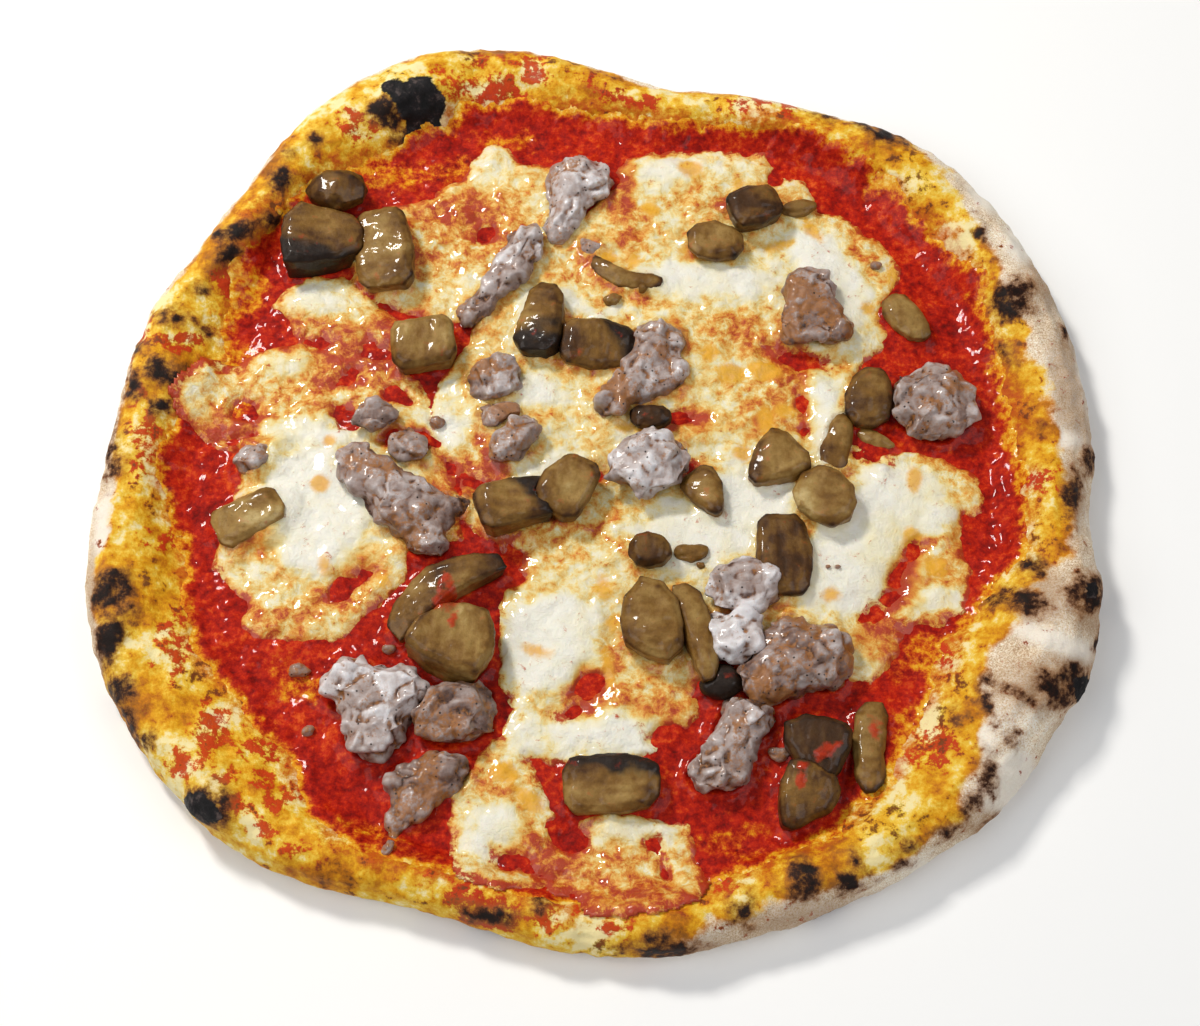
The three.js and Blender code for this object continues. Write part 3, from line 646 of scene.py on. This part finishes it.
def dough_material():
    """Wood-fired bread dough: dry floury skin, deep yellow where oiled, with leopard bakes and char."""
    material, tree, at = new_material("baked_dough")
    broad = add(tree, "TexNoise", {"Vector": at, "Scale": 60, "Detail": 5.0, "Roughness": 0.6})
    grain = add(tree, "TexNoise", {"Vector": at, "Scale": 260, "Detail": 6.0, "Roughness": 0.68})
    fine = add(tree, "TexNoise", {"Vector": at, "Scale": 2100, "Detail": 3.0, "Roughness": 0.7})
    dust = add(tree, "Math", {0: broad, 1: 0.5, 2: fine}, operation="MULTIPLY_ADD")
    flour = add(tree, "ValToRGB", {"Fac": dust}, stops=[
        (0.56, "#B59474"), (0.67, "#DABF9E"), (0.78, "#F1E0C5"), (0.92, "#FDF8EE")])
    oil = add(tree, "ValToRGB", {"Fac": broken(tree, "gold", grain, 1.6)}, stops=[
        (0.05, "#F4E2A6"), (0.22, "#EEC644"), (0.42, "#E0A010"), (0.64, "#C47606"), (0.95, "#7C440A")])
    scorched = add(tree, "ValToRGB", {"Fac": broken(tree, "toast", grain, 1.6)}, stops=[
        (0.5, "#8E4E1C"), (0.68, "#5E3014"), (0.84, "#35190C"), (1.0, "#190D08")])
    smeared = add(tree, "ValToRGB", {"Fac": grain}, stops=[
        (0.35, "#8E0E02"), (0.5, "#B81F04"), (0.62, "#CE3A08"), (0.76, "#DC6A12")])
    char = add(tree, "ValToRGB", {"Fac": grain}, stops=[
        (0.4, "#070607"), (0.55, "#1A1618"), (0.68, "#5A4C48")])
    oily = worn(tree, "oil", grain, 1.2, 0.22)
    colour = layered(tree, flour, [
        (worn(tree, "shade", grain, 0.8, 0.45, most=0.6), "#A07A58"),
        (worn(tree, "bloom", grain, 0.8, 0.4, most=0.85), "#F5ECDD"),
        (oily, oil),
        (worn(tree, "blush", grain, 1.8, 0.3, most=0.8), "#C04A0A"),
        (worn(tree, "smear", grain, 3.4, 0.14, most=0.92), smeared),
        (worn(tree, "speck", grain, 3.2, 0.14, most=0.85), "#5E3312"),
        (worn(tree, "toast", grain, 1.2, 0.4, most=0.75), "#94642F"),
        (worn(tree, "toast", grain, 1.9, 0.26, 0.66), scorched),
        (worn(tree, "char", grain, 1.4, 0.12), char),
    ])
    settings = {
        "Base Color": colour,
        "Roughness": add(tree, "MapRange", {"Value": oily, "To Min": 0.92, "To Max": 0.6}),
        "IOR": 1.4, "Specular IOR Level": 0.3,
        "Subsurface Weight": 0.08, "Subsurface Radius": (0.9, 0.5, 0.25), "Subsurface Scale": 0.0015,
    }
    finish(tree, settings, [(broad, 1.0), (grain, 0.7), (fine, 0.12)])
    return material


def sauce_material():
    """Cooked tomato passata: wet, pulpy and deep red, thinned to orange where oil has run."""
    material, tree, at = new_material("tomato_passata")
    broad = add(tree, "TexNoise", {"Vector": at, "Scale": 90, "Detail": 4.0, "Roughness": 0.6})
    pulp = add(tree, "TexNoise", {"Vector": at, "Scale": 420, "Detail": 6.0, "Roughness": 0.7})
    both = add(tree, "Math", {0: broad, 1: 0.5, 2: pulp}, operation="MULTIPLY_ADD")
    red = add(tree, "ValToRGB", {"Fac": both}, stops=[
        (0.5, "#5A0300"), (0.68, "#960D01"), (0.82, "#BC2203"), (1.0, "#E05C1A")])
    thin = add(tree, "ValToRGB", {"Fac": broken(tree, "thin", pulp, 1.5)}, stops=[
        (0.4, "#B02806"), (0.58, "#C8500A"), (0.74, "#DA8A10"), (0.88, "#E6AA28"), (1.0, "#F0D074")])
    settings = {
        "Base Color": layered(tree, red, [(worn(tree, "thin", pulp, 1.6, 0.3), thin)]),
        "Roughness": 0.6, "IOR": 1.34, "Specular IOR Level": 0.2,
        "Coat Weight": 0.32, "Coat IOR": 1.36, "Coat Roughness": 0.05,
        "Subsurface Weight": 0.1, "Subsurface Radius": (1.0, 0.2, 0.1), "Subsurface Scale": 0.0012,
    }
    finish(tree, settings, [(broad, 0.7), (pulp, 0.32)])
    return material


def cheese_material():
    """Melted mozzarella: ivory, translucent and greasy, its curds parted by orange oil and sauce."""
    material, tree, at = new_material("melted_mozzarella")
    broad = add(tree, "TexNoise", {"Vector": at, "Scale": 110, "Detail": 4.0, "Roughness": 0.6})
    curd = add(tree, "TexNoise", {
        "Vector": at, "Scale": 250, "Detail": 6.0, "Roughness": 0.72, "Distortion": 0.3})
    mottle = add(tree, "Attribute", attribute_name="mottle").outputs["Fac"]
    swing = add(tree, "Math", {0: curd, 1: 0.5}, operation="SUBTRACT")
    swing = add(tree, "Math", {0: swing, 1: mottle}, operation="MULTIPLY")
    tint = add(tree, "Attribute", attribute_name="tint").outputs["Fac"]
    tint = add(tree, "Math", {0: swing, 1: 2.2, 2: tint}, operation="MULTIPLY_ADD")
    melt = add(tree, "ValToRGB", {"Fac": tint}, stops=[
        (0.0, "#F1EEE0"), (0.28, "#EFE7C6"), (0.44, "#EEDA98"), (0.58, "#E8BE64"), (0.72, "#DE9630"),
        (0.86, "#CC6A1A"), (1.0, "#AE360A")])
    pool = add(tree, "Mix", {0: curd, 6: "#E08C04", 7: "#F4C430"}, data_type="RGBA")
    sauce = add(tree, "Mix", {0: curd, 6: "#8E0E01", 7: "#C8440A"}, data_type="RGBA")
    brown = add(tree, "Mix", {0: curd, 6: "#7A4A1E", 7: "#C08A3C"}, data_type="RGBA")
    settings = {
        "Base Color": layered(tree, melt, [
            (worn(tree, "pool", curd, 1.2, 0.4, most=0.85), pool),
            (worn(tree, "ring", curd, 1.4, 0.3), brown),
            (worn(tree, "bleed", curd, 3.0, 0.2), sauce),
        ]),
        "Roughness": 0.48, "IOR": 1.42,
        "Coat Weight": 0.5, "Coat Roughness": 0.06,
        "Subsurface Weight": 0.12, "Subsurface Radius": (1.0, 0.7, 0.4), "Subsurface Scale": 0.0015,
    }
    finish(tree, settings, [(broad, 1.0), (curd, 0.9)])
    return material


def sausage_material():
    """Roasted pork sausage meat: grey-pink mince with pale fat, browned corners and ground pepper."""
    material, tree, at = new_material("roast_sausage_meat")
    fat = add(tree, "TexNoise", {"Vector": at, "Scale": 210, "Detail": 5.0, "Roughness": 0.66})
    mince = add(tree, "TexNoise", {"Vector": at, "Scale": 700, "Detail": 5.0, "Roughness": 0.7})
    pepper = add(tree, "TexVoronoi", {"Vector": at, "Scale": 360})
    specks = add(tree, "MapRange", {"Value": pepper, "From Min": 0.15, "From Max": 0.09})
    # The pale mark holds the sausage's own tone, with painted light on the tops and painted shade in the
    # crevices.
    meat_and_shading = add(tree, "ValToRGB", {"Fac": broken(tree, "pale", fat, 0.7)}, stops=[
        (0.0, "#33201A"), (0.22, "#6C5147"), (0.45, "#9A867E"), (0.68, "#BAADA9"), (0.92, "#E2DEDF")])
    brown = add(tree, "Mix", {0: mince, 6: "#56290E", 7: "#C08040"}, data_type="RGBA")
    settings = {
        "Base Color": layered(tree, meat_and_shading, [
            (worn(tree, "brown", mince, 2.4, 0.3, most=0.85), brown),
            (specks, "#2A1D15"),
        ]),
        "Roughness": 0.4, "IOR": 1.42, "Specular IOR Level": 0.35,
        "Coat Weight": 0.4, "Coat Roughness": 0.08,
        "Subsurface Weight": 0.08, "Subsurface Radius": (1.0, 0.5, 0.35), "Subsurface Scale": 0.001,
    }
    finish(tree, settings, [(fat, 0.5), (mince, 0.3)])
    return material


def mushroom_material():
    """Pan-cooked mushroom: olive-brown flesh with darker skin, slick with oil."""
    material, tree, at = new_material("cooked_mushroom")
    broad = add(tree, "TexNoise", {"Vector": at, "Scale": 220, "Detail": 5.0, "Roughness": 0.66})
    pores = add(tree, "TexNoise", {"Vector": at, "Scale": 900, "Detail": 4.0, "Roughness": 0.7})
    # The pale mark holds the mushroom's own tone, with painted shade in dents and partly on rims.
    flesh_and_shade = add(tree, "ValToRGB", {"Fac": broken(tree, "pale", broad, 0.7)}, stops=[
        (0.0, "#1C0E04"), (0.25, "#4C2E10"), (0.5, "#7C5824"), (0.75, "#A08046"), (1.0, "#CDB67E")])
    pitted = add(tree, "MapRange", {"Value": pores, "From Min": 0.56, "From Max": 0.7, "To Max": 0.3})
    flesh_and_shade = layered(tree, flesh_and_shade, [(pitted, "#4C3416")])
    skin = add(tree, "Mix", {0: pores, 6: "#0C0806", 7: "#33241A"}, data_type="RGBA")
    red = add(tree, "Mix", {0: pores, 6: "#8A0E02", 7: "#CE3C0A"}, data_type="RGBA")
    settings = {
        "Base Color": layered(tree, flesh_and_shade, [
            (worn(tree, "dark", broad, 1.0, 0.3), skin),
            (worn(tree, "splash", broad, 2.4, 0.3, most=0.85), red),
        ]),
        "Roughness": 0.5, "IOR": 1.4, "Specular IOR Level": 0.25,
        "Coat Weight": 0.32, "Coat Roughness": 0.08,
        "Subsurface Weight": 0.06, "Subsurface Radius": (1.0, 0.6, 0.3), "Subsurface Scale": 0.001,
    }
    finish(tree, settings, [(broad, 0.45), (pores, 0.25)])
    return material


# ---- the crust

def turned(name, count):
    """A closed form of revolution with a ring of points for each of the section's places."""
    form = bmesh.new()
    places = [form.verts.new((j + 1.0, 0, 0)) for j in range(count)]
    for pair in zip(places, places[1:]):
        form.edges.new(pair)
    draft = shown(name, mesh_of(form, name))
    screw = draft.modifiers.new("turn", "SCREW")
    screw.steps = screw.render_steps = ROUND_STEPS
    screw.use_merge_vertices = True
    screw.merge_threshold = 0.001
    mesh = applied(draft)
    form = bmesh.new()
    form.from_mesh(mesh)
    bmesh.ops.holes_fill(form, edges=[e for e in form.edges if e.is_boundary])
    bmesh.ops.recalc_face_normals(form, faces=form.faces)
    form.to_mesh(mesh)
    form.free()
    return mesh


def make_crust():
    """The crust: a form of revolution whose every point is moved to the crust's true section."""
    mesh = turned("crust", SECTIONS.shape[1])
    template = points_of(mesh) * MM
    station = np.rint(np.hypot(template[:, 0], template[:, 1])).astype(int) - 1
    step = np.rint(np.arctan2(template[:, 1], template[:, 0]) / TAU * ROUND_STEPS).astype(int) % ROUND_STEPS
    r, z = SECTIONS[step, station].T
    angle = ANGLES[step]
    p = np.stack([r * np.cos(angle), r * np.sin(angle), z], axis=1)
    set_points(mesh, p)
    form = bmesh.new()
    form.from_mesh(mesh)
    bmesh.ops.recalc_face_normals(form, faces=form.faces)
    form.to_mesh(mesh)
    form.free()

    normal = vectors_of(mesh, "normal")
    top = (station < TOP_COUNT).astype(float)
    q = seen(p)
    seen_r, seen_angle = polar(q)
    char = spots(q, CHAR, 1.2, 41)
    toast = spots(q, TOAST, 1.8, 42)
    oil = smooth(-5, 5, around(OIL_REACH, seen_angle) - seen_r + 3 * rough(flat(p), 8, 48))
    dry = smooth(0, 5, OUTER[step] - r + 2 * rough(p, 9, 49)) * top
    turn = np.degrees(angle) % 360
    dripped = smooth(DRIP_START, DRIP_START + DRIP_FADE, turn) * smooth(DRIP_END, DRIP_END - DRIP_FADE, turn)
    dripped *= smooth(1, 5, z)
    oil *= np.maximum(dry, dripped)
    under = smooth(0.2, 0.9, rough(p, 16, 51)) * (1 - top)
    set_marks(
        mesh,
        oil=oil,
        gold=0.36 + 0.4 * rough(p, 11, 52) + 0.2 * smooth(-6, 2, toast),
        smear=0.7 * smooth(-5, 4, spots(q, RIM_SAUCE, 1.8, 43)) * top,
        toast=np.maximum(0.94 * smooth(-5.5, 3.8, toast) * (0.9 + 0.1 * oil) * top, 0.8 * under),
        char=smooth(-1.6, 2.4, char) * top,
        speck=0.30 * smooth(-0.2, 0.9, rough(p, 15, 50)) * oil,
        shade=smooth(-9, 5, spots(q, FLOUR_SHADE)) * top,
        bloom=smooth(-4, 3, spots(q, FLOUR_BLOOM)) * top,
        blush=0.62 * smooth(11, -2, r - around(SAUCE_REACH, angle) + 3 * rough(flat(p), 9, 53)) * top,
    )
    p += normal * dough_lift(p)[:, None]
    p[:, 2] = np.maximum(p[:, 2], 0)
    set_points(mesh, p)
    place("baked_crust", mesh, dough_material(), "crust", "crust")


# ---- the sauce and the cheese

def topping_tree():
    """All sausage and mushroom pieces as one tree, to ask how near a point is to one."""
    form = bmesh.new()
    for name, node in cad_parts.items():
        if name.startswith(("sausage", "mushroom")):
            form.from_mesh(node.data)
    tree = BVHTree.FromBMesh(form)
    form.free()
    return tree


TOPPINGS = topping_tree()


def topping_gap(points):
    """How far each point's place is from the nearest sausage or mushroom, up to the limit."""
    places = flat(points) + (0, 0, READ_HEIGHT)
    found = [TOPPINGS.find_nearest(Vector(q) * MM, GAP_LIMIT * MM)[3] for q in places]
    return np.array([GAP_LIMIT if f is None else f / MM for f in found])


def sheet_mesh(name, keep, height, low, high):
    """A fine closed sheet: a grid cut to what is kept, raised to its heights, its border let down."""
    form = bmesh.new()
    counts = [int(round((high[i] - low[i]) / SHEET_STEP)) for i in (0, 1)]
    bmesh.ops.create_grid(form, x_segments=counts[0], y_segments=counts[1], size=0.5)
    p = np.array([v.co[:] for v in form.verts])
    p[:, :2] = np.array(low) + (p[:, :2] + 0.5) * np.array(counts) * SHEET_STEP
    kept = keep(p)
    for vert, place_xy in zip(form.verts, p * MM):
        vert.co.xy = place_xy[:2]
    bmesh.ops.delete(form, geom=[v for v, k in zip(form.verts, kept) if not k], context="VERTS")
    for _ in range(3):
        pinched = [v for v in form.verts if sum(e.is_boundary for e in v.link_edges) != 2 and v.is_boundary]
        bmesh.ops.delete(form, geom=pinched, context="VERTS")
        bmesh.ops.delete(form, geom=[v for v in form.verts if not v.link_faces], context="VERTS")
    p = np.array([v.co[:] for v in form.verts]) / MM
    for vert, level in zip(form.verts, height(p)):
        vert.co.z = level * MM
    border = [e for e in form.edges if e.is_boundary]
    down = bmesh.ops.extrude_edge_only(form, edges=border)
    for item in down["geom"]:
        if isinstance(item, bmesh.types.BMVert):
            item.co.z = SHEET_FLOOR * MM
    bmesh.ops.holes_fill(form, edges=[e for e in form.edges if e.is_boundary])
    bmesh.ops.triangulate(form, faces=[f for f in form.faces if len(f.verts) > 4])
    bmesh.ops.recalc_face_normals(form, faces=form.faces)
    return mesh_of(form, name)


def creep(points):
    """How high a wet layer climbs the pieces that stand in it."""
    return 2.0 * np.exp(-topping_gap(points) / 1.8)


def sauce_height(points):
    depth = sauce_depth(points)
    pulp = 0.45 * rough(flat(points), 6.0, 61) + 0.2 * rough(flat(points), 2.2, 62)
    layer = SAUCE_LEVEL * (1 - np.exp(-np.maximum(depth, 0) / 5)) + np.minimum(depth, 0) * 0.35
    return dough_height(points) + layer + pulp * smooth(-1, 4, depth) + 0.1 + creep(points)


def whiteness(points):
    """From 0 to 1, how calm and white the cheese is."""
    return smooth(-3.5, 4, spots(points, WHITE, 2.5, 75))


def cheese_height(points):
    depth = cheese_depth(points)
    calm = whiteness(points)
    melt = (1.7 + 0.9 * calm) * (1 - np.exp(-np.maximum(depth, 0) / 2.5)) + np.minimum(depth, 0) * 0.6
    curds = 0.5 * rough(flat(points), 9.0, 71) + (0.5 - 0.35 * calm) * rough(flat(points), 3.6, 72)
    risen = 2.6 * smooth(-4, 3, spots(points, SUNK, 1.5, 78)) + creep(points)
    level = dough_height(points) + SAUCE_LEVEL + 0.2 + melt
    return level + curds * smooth(0, 4, depth) + risen * smooth(-1, 2, depth)


def make_sauce():
    mesh = sheet_mesh("sauce", lambda p: sauce_depth(p) > -4, sauce_height, *SAUCE_BOUNDS)
    p = points_of(mesh)
    depth = sauce_depth(p)
    patchy = spots(p, OILY_SAUCE, 3, 63)
    thin = np.maximum(0.8 * smooth(6.5, -0.5, depth), 0.62 * smooth(-5, 4, patchy))
    set_marks(mesh, thin=thin + 0.1 * rough(flat(p), 7, 64))
    place("tomato_sauce_layer", mesh, sauce_material(), "tomato_sauce", "tomato_sauce")


def make_cheese():
    mesh = sheet_mesh("mozzarella", lambda p: cheese_depth(p) > -2.5, cheese_height, *CHEESE_BOUNDS)
    p = points_of(mesh)
    depth = cheese_depth(p)
    calm = whiteness(p)
    stain = smooth(-5, 6, spots(p, STAINS, 3.0, 74))
    red = smooth(-4, 4, spots(p, RED_MIX, 2.0, 76))
    near = topping_gap(p)
    tint = 0.46 + 0.22 * stain + 0.28 * red + 0.14 * rough(flat(p), 8, 77) - 0.46 * calm * (1 - 0.5 * red)
    tint += 0.25 * smooth(2.5, 0.0, depth) + 0.16 * smooth(3.5, 0.5, near)
    set_marks(
        mesh,
        tint=tint,
        mottle=0.2 + 0.8 * (1 - calm) * (0.6 + 0.4 * stain),
        pool=smooth(-2, 2, spots(p, OIL_POOLS, 0.6, 73)),
        ring=0.45 * smooth(1.6, 0.0, near),
        bleed=0.66 * smooth(2.6, -1.0, depth),
    )
    nodes = [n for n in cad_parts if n.startswith("mozzarella")]
    place("mozzarella_melt", mesh, cheese_material(), "mozzarella", *nodes)


# ---- sausage and mushrooms

def fine_chunk(node, rounds, fill=0.0):
    """A CAD chunk as a fine mesh with its edges softened. Its hull, shrunk to fill, thickens its waists."""
    form = merged(node)
    if fill:
        middle = sum((v.co for v in form.verts), Vector()) / len(form.verts)
        copies = bmesh.ops.duplicate(form, geom=form.verts[:])["geom"]
        hull = [v for v in copies if isinstance(v, bmesh.types.BMVert)]
        for vert in hull:
            vert.co = middle + (vert.co - middle) * fill
        bmesh.ops.convex_hull(form, input=hull)
        bmesh.ops.delete(form, geom=[v for v in hull if not v.link_faces], context="VERTS")
    draft = shown(node + "_draft", mesh_of(form, node))
    remesh = draft.modifiers.new("remesh", "REMESH")
    remesh.mode = "VOXEL"
    remesh.voxel_size = CHUNK_STEP * MM
    soften = draft.modifiers.new("soften", "SMOOTH")
    soften.factor = 0.5
    soften.iterations = rounds
    return applied(draft)


def relief(mesh, points, rounds):
    """How far each point stands out from the surface around it, in mm. It is negative in dents."""
    raw = np.empty(2 * len(mesh.edges), np.int32)
    mesh.edges.foreach_get("vertices", raw)
    a, b = raw.reshape(-1, 2).T
    count = len(points)
    shares = np.bincount(a, minlength=count) + np.bincount(b, minlength=count)
    soft = points.copy()
    for _ in range(rounds):
        total = [np.bincount(a, soft[b, i], count) + np.bincount(b, soft[a, i], count) for i in range(3)]
        soft = 0.5 * soft + 0.5 * np.stack(total, axis=1) / shares[:, None]
    return ((points - soft) * vectors_of(mesh, "normal")).sum(axis=1)


def make_mushrooms():
    material = mushroom_material()
    make_scraps("mushroom_scraps", MUSHROOM_SCRAPS, material, "mushroom", pale=0.5, dark=0.2, splash=0.0)
    for node in sorted(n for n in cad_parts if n.startswith("mushroom")):
        number = int(node[-2:])
        dx, dy, dark, pale = MUSHROOM_LOOKS.get(number, (0, 0, 0, 0.5))
        mesh = fine_chunk(node, rounds=1)
        p = points_of(mesh)
        fibres = noise(p * (0.3, 1.0, 1.0) if number % 2 else p * (1.0, 0.3, 1.0), 1.3, number + 40)
        splash = spots(p, SPLASHES, 1.2, 90)
        lift = 0.6 * rough(p, 9, number) + 0.16 * rough(p, 3, number + 20) + 0.14 * fibres
        lift += 0.4 * smooth(-0.5, 1.5, splash)
        p += vectors_of(mesh, "normal") * (lift + 0.1)[:, None]
        set_points(mesh, p)
        middle = 0.5 * (p.min(axis=0) + p.max(axis=0))
        q = (p - middle) / (0.5 * (p.max(axis=0) - p.min(axis=0)))
        side = smooth(-0.1, 0.9, q[:, 0] * dx + q[:, 1] * dy + 0.3 * noise(p, 5, number))
        side = side if dx or dy else np.ones(len(p))
        ridge = relief(mesh, p, 14)
        # Darker on rims, partly the real brown edge of a slice and partly painted shade, and darker in dents:
        # painted shade.
        flesh_and_shade = pale - 0.42 * smooth(0.05, 0.6, ridge) - 0.4 * smooth(-0.1, -0.5, ridge)
        flesh_and_shade = flesh_and_shade + 0.24 * noise(p, 8, number + 7) + 0.1 * fibres
        set_marks(mesh, dark=dark * side, pale=flesh_and_shade, splash=0.8 * smooth(-1.5, 1.2, splash))
        place(node + "_cut", mesh, material, "mushroom", node)


def make_sausage():
    material = sausage_material()
    make_scraps("sausage_scraps", SAUSAGE_SCRAPS, material, "sausage", pale=0.42, brown=0.5)
    for node in sorted(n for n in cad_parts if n.startswith("sausage")):
        number = int(node[-2:])
        pale, brown = SAUSAGE_LOOKS.get(number, (0.5, 0.3))
        mesh = fine_chunk(node, rounds=5, fill=0.88)
        p = points_of(mesh)
        q = p + 0.8 * np.stack([noise(p, 3, number + i) for i in (110, 111, 112)], axis=1)
        coarse, tone = lumps(q, 8.5, number + 120)
        small, tint = lumps(q, 4.0, number + 130)
        lift = 1.5 * smooth(0, 2.6, coarse) + 0.35 * smooth(0, 1.2, small) + 1.1 * rough(p, 9, number + 100)
        p += vectors_of(mesh, "normal") * (lift - 1.3)[:, None]
        set_points(mesh, p)
        ridge = relief(mesh, p, 8)
        high = smooth(p[:, 2].min() + 1, p[:, 2].max() - 2, p[:, 2])
        # Paler towards the top of each piece: painted light.
        meat_and_shading = pale * (0.42 + 0.6 * high) + 0.3 * (tone - 0.5) + 0.14 * (tint - 0.5)
        # Paler on ridges and much darker in crevices: painted highlight and painted shade.
        meat_and_shading = meat_and_shading + 0.18 * smooth(0, 0.35, ridge) - 0.7 * smooth(-0.04, -0.3, ridge)
        roast_and_shade = brown * (0.4 + 1.3 * smooth(-0.1, 0.6, noise(p, 7, number + 180)))
        # Browner in crevices as painted shade, and on some small lumps as real browning.
        roast_and_shade = roast_and_shade + 0.25 * smooth(0.75, 1.0, tint) + 0.3 * smooth(-0.03, -0.2, ridge)
        # Browner towards the foot of each piece: painted shade.
        set_marks(mesh, pale=meat_and_shading, brown=roast_and_shade + 0.2 * smooth(0.4, 0.0, high))
        place(node + "_chunk", mesh, material, "sausage", node)


def make_scraps(name, scraps, material, slot, **marks):
    """Crumbs and slivers lying on the cheese and sauce, as one piece."""
    form = bmesh.new()
    for index, (x, y, length, width, turn) in enumerate(scraps):
        crumb = bmesh.ops.create_icosphere(form, subdivisions=4 if length > 4 else 3, radius=1.0)["verts"]
        p = np.array([v.co[:] for v in crumb])
        p *= (1 + 0.3 * rough(p, 1.1, index + 200))[:, None]
        p *= (0.5 * length, 0.5 * width, 0.5 * min(width, 4))
        c, s = math.cos(math.radians(turn)), math.sin(math.radians(turn))
        here = np.array([(x, y, 0.0)])
        level = cheese_height(here) if cheese_depth(here) > 0 else sauce_height(here)
        u, v, w = p.T
        p = np.stack([x + u * c - v * s, y + u * s + v * c, level + 0.5 + w], axis=1)
        for vert, spot in zip(crumb, p * MM):
            vert.co = spot
    mesh = mesh_of(form, name)
    p = points_of(mesh)
    set_marks(mesh, **{mark: value + 0.15 * noise(p, 3, 91) for mark, value in marks.items()})
    place(name, mesh, material, slot)


# ---- studio

def make_studio():
    form = bmesh.new()
    bmesh.ops.create_circle(form, cap_ends=True, segments=96, radius=4.0)
    mesh = mesh_of(form, "floor")
    floor = shown("floor", mesh)
    material, tree, at = new_material("white_paper")
    cloud = add(tree, "TexNoise", {"Vector": at, "Scale": 3.0})
    tint = add(tree, "Mix", {0: cloud, 6: "#FAFAF9", 7: "#FDFDFC"}, data_type="RGBA")
    surface = add(tree, "BsdfPrincipled", {"Base Color": tint, "Roughness": 0.9})
    add(tree, "OutputMaterial", {"Surface": surface.outputs["BSDF"]})
    mesh.materials.append(material)

    world = bpy.data.worlds.new("studio")
    bpy.context.scene.world = world
    world.use_nodes = True
    background = world.node_tree.nodes["Background"].inputs
    background["Color"].default_value = linear("#FFFFFF")
    background["Strength"].default_value = WORLD_STRENGTH

    for name, position, size, power, colour in LAMPS:
        lamp = bpy.data.lights.new(name, "AREA")
        lamp.size = size
        lamp.energy = power
        lamp.color = linear(colour)[:3]
        holder = shown(name, lamp)
        holder.location = position
        holder.rotation_euler = (-Vector(position)).to_track_quat("-Z", "Y").to_euler()


def make_camera():
    camera = bpy.data.cameras.new("camera")
    camera.lens = LENS
    camera.sensor_width = SENSOR
    camera.sensor_fit = "HORIZONTAL"
    camera.clip_start = 0.01
    holder = shown("camera", camera)
    back = Vector((0, -math.cos(VIEW_ELEVATION), math.sin(VIEW_ELEVATION)))
    holder.location = (Vector(VIEW_TARGET) + back * VIEW_DISTANCE) * MM
    holder.rotation_euler = (-back).to_track_quat("-Z", "Y").to_euler()
    bpy.context.scene.camera = holder
    bpy.context.scene.view_settings.view_transform = "Standard"


make_camera()
make_studio()
make_crust()
make_sauce()
make_cheese()
make_mushrooms()
make_sausage()
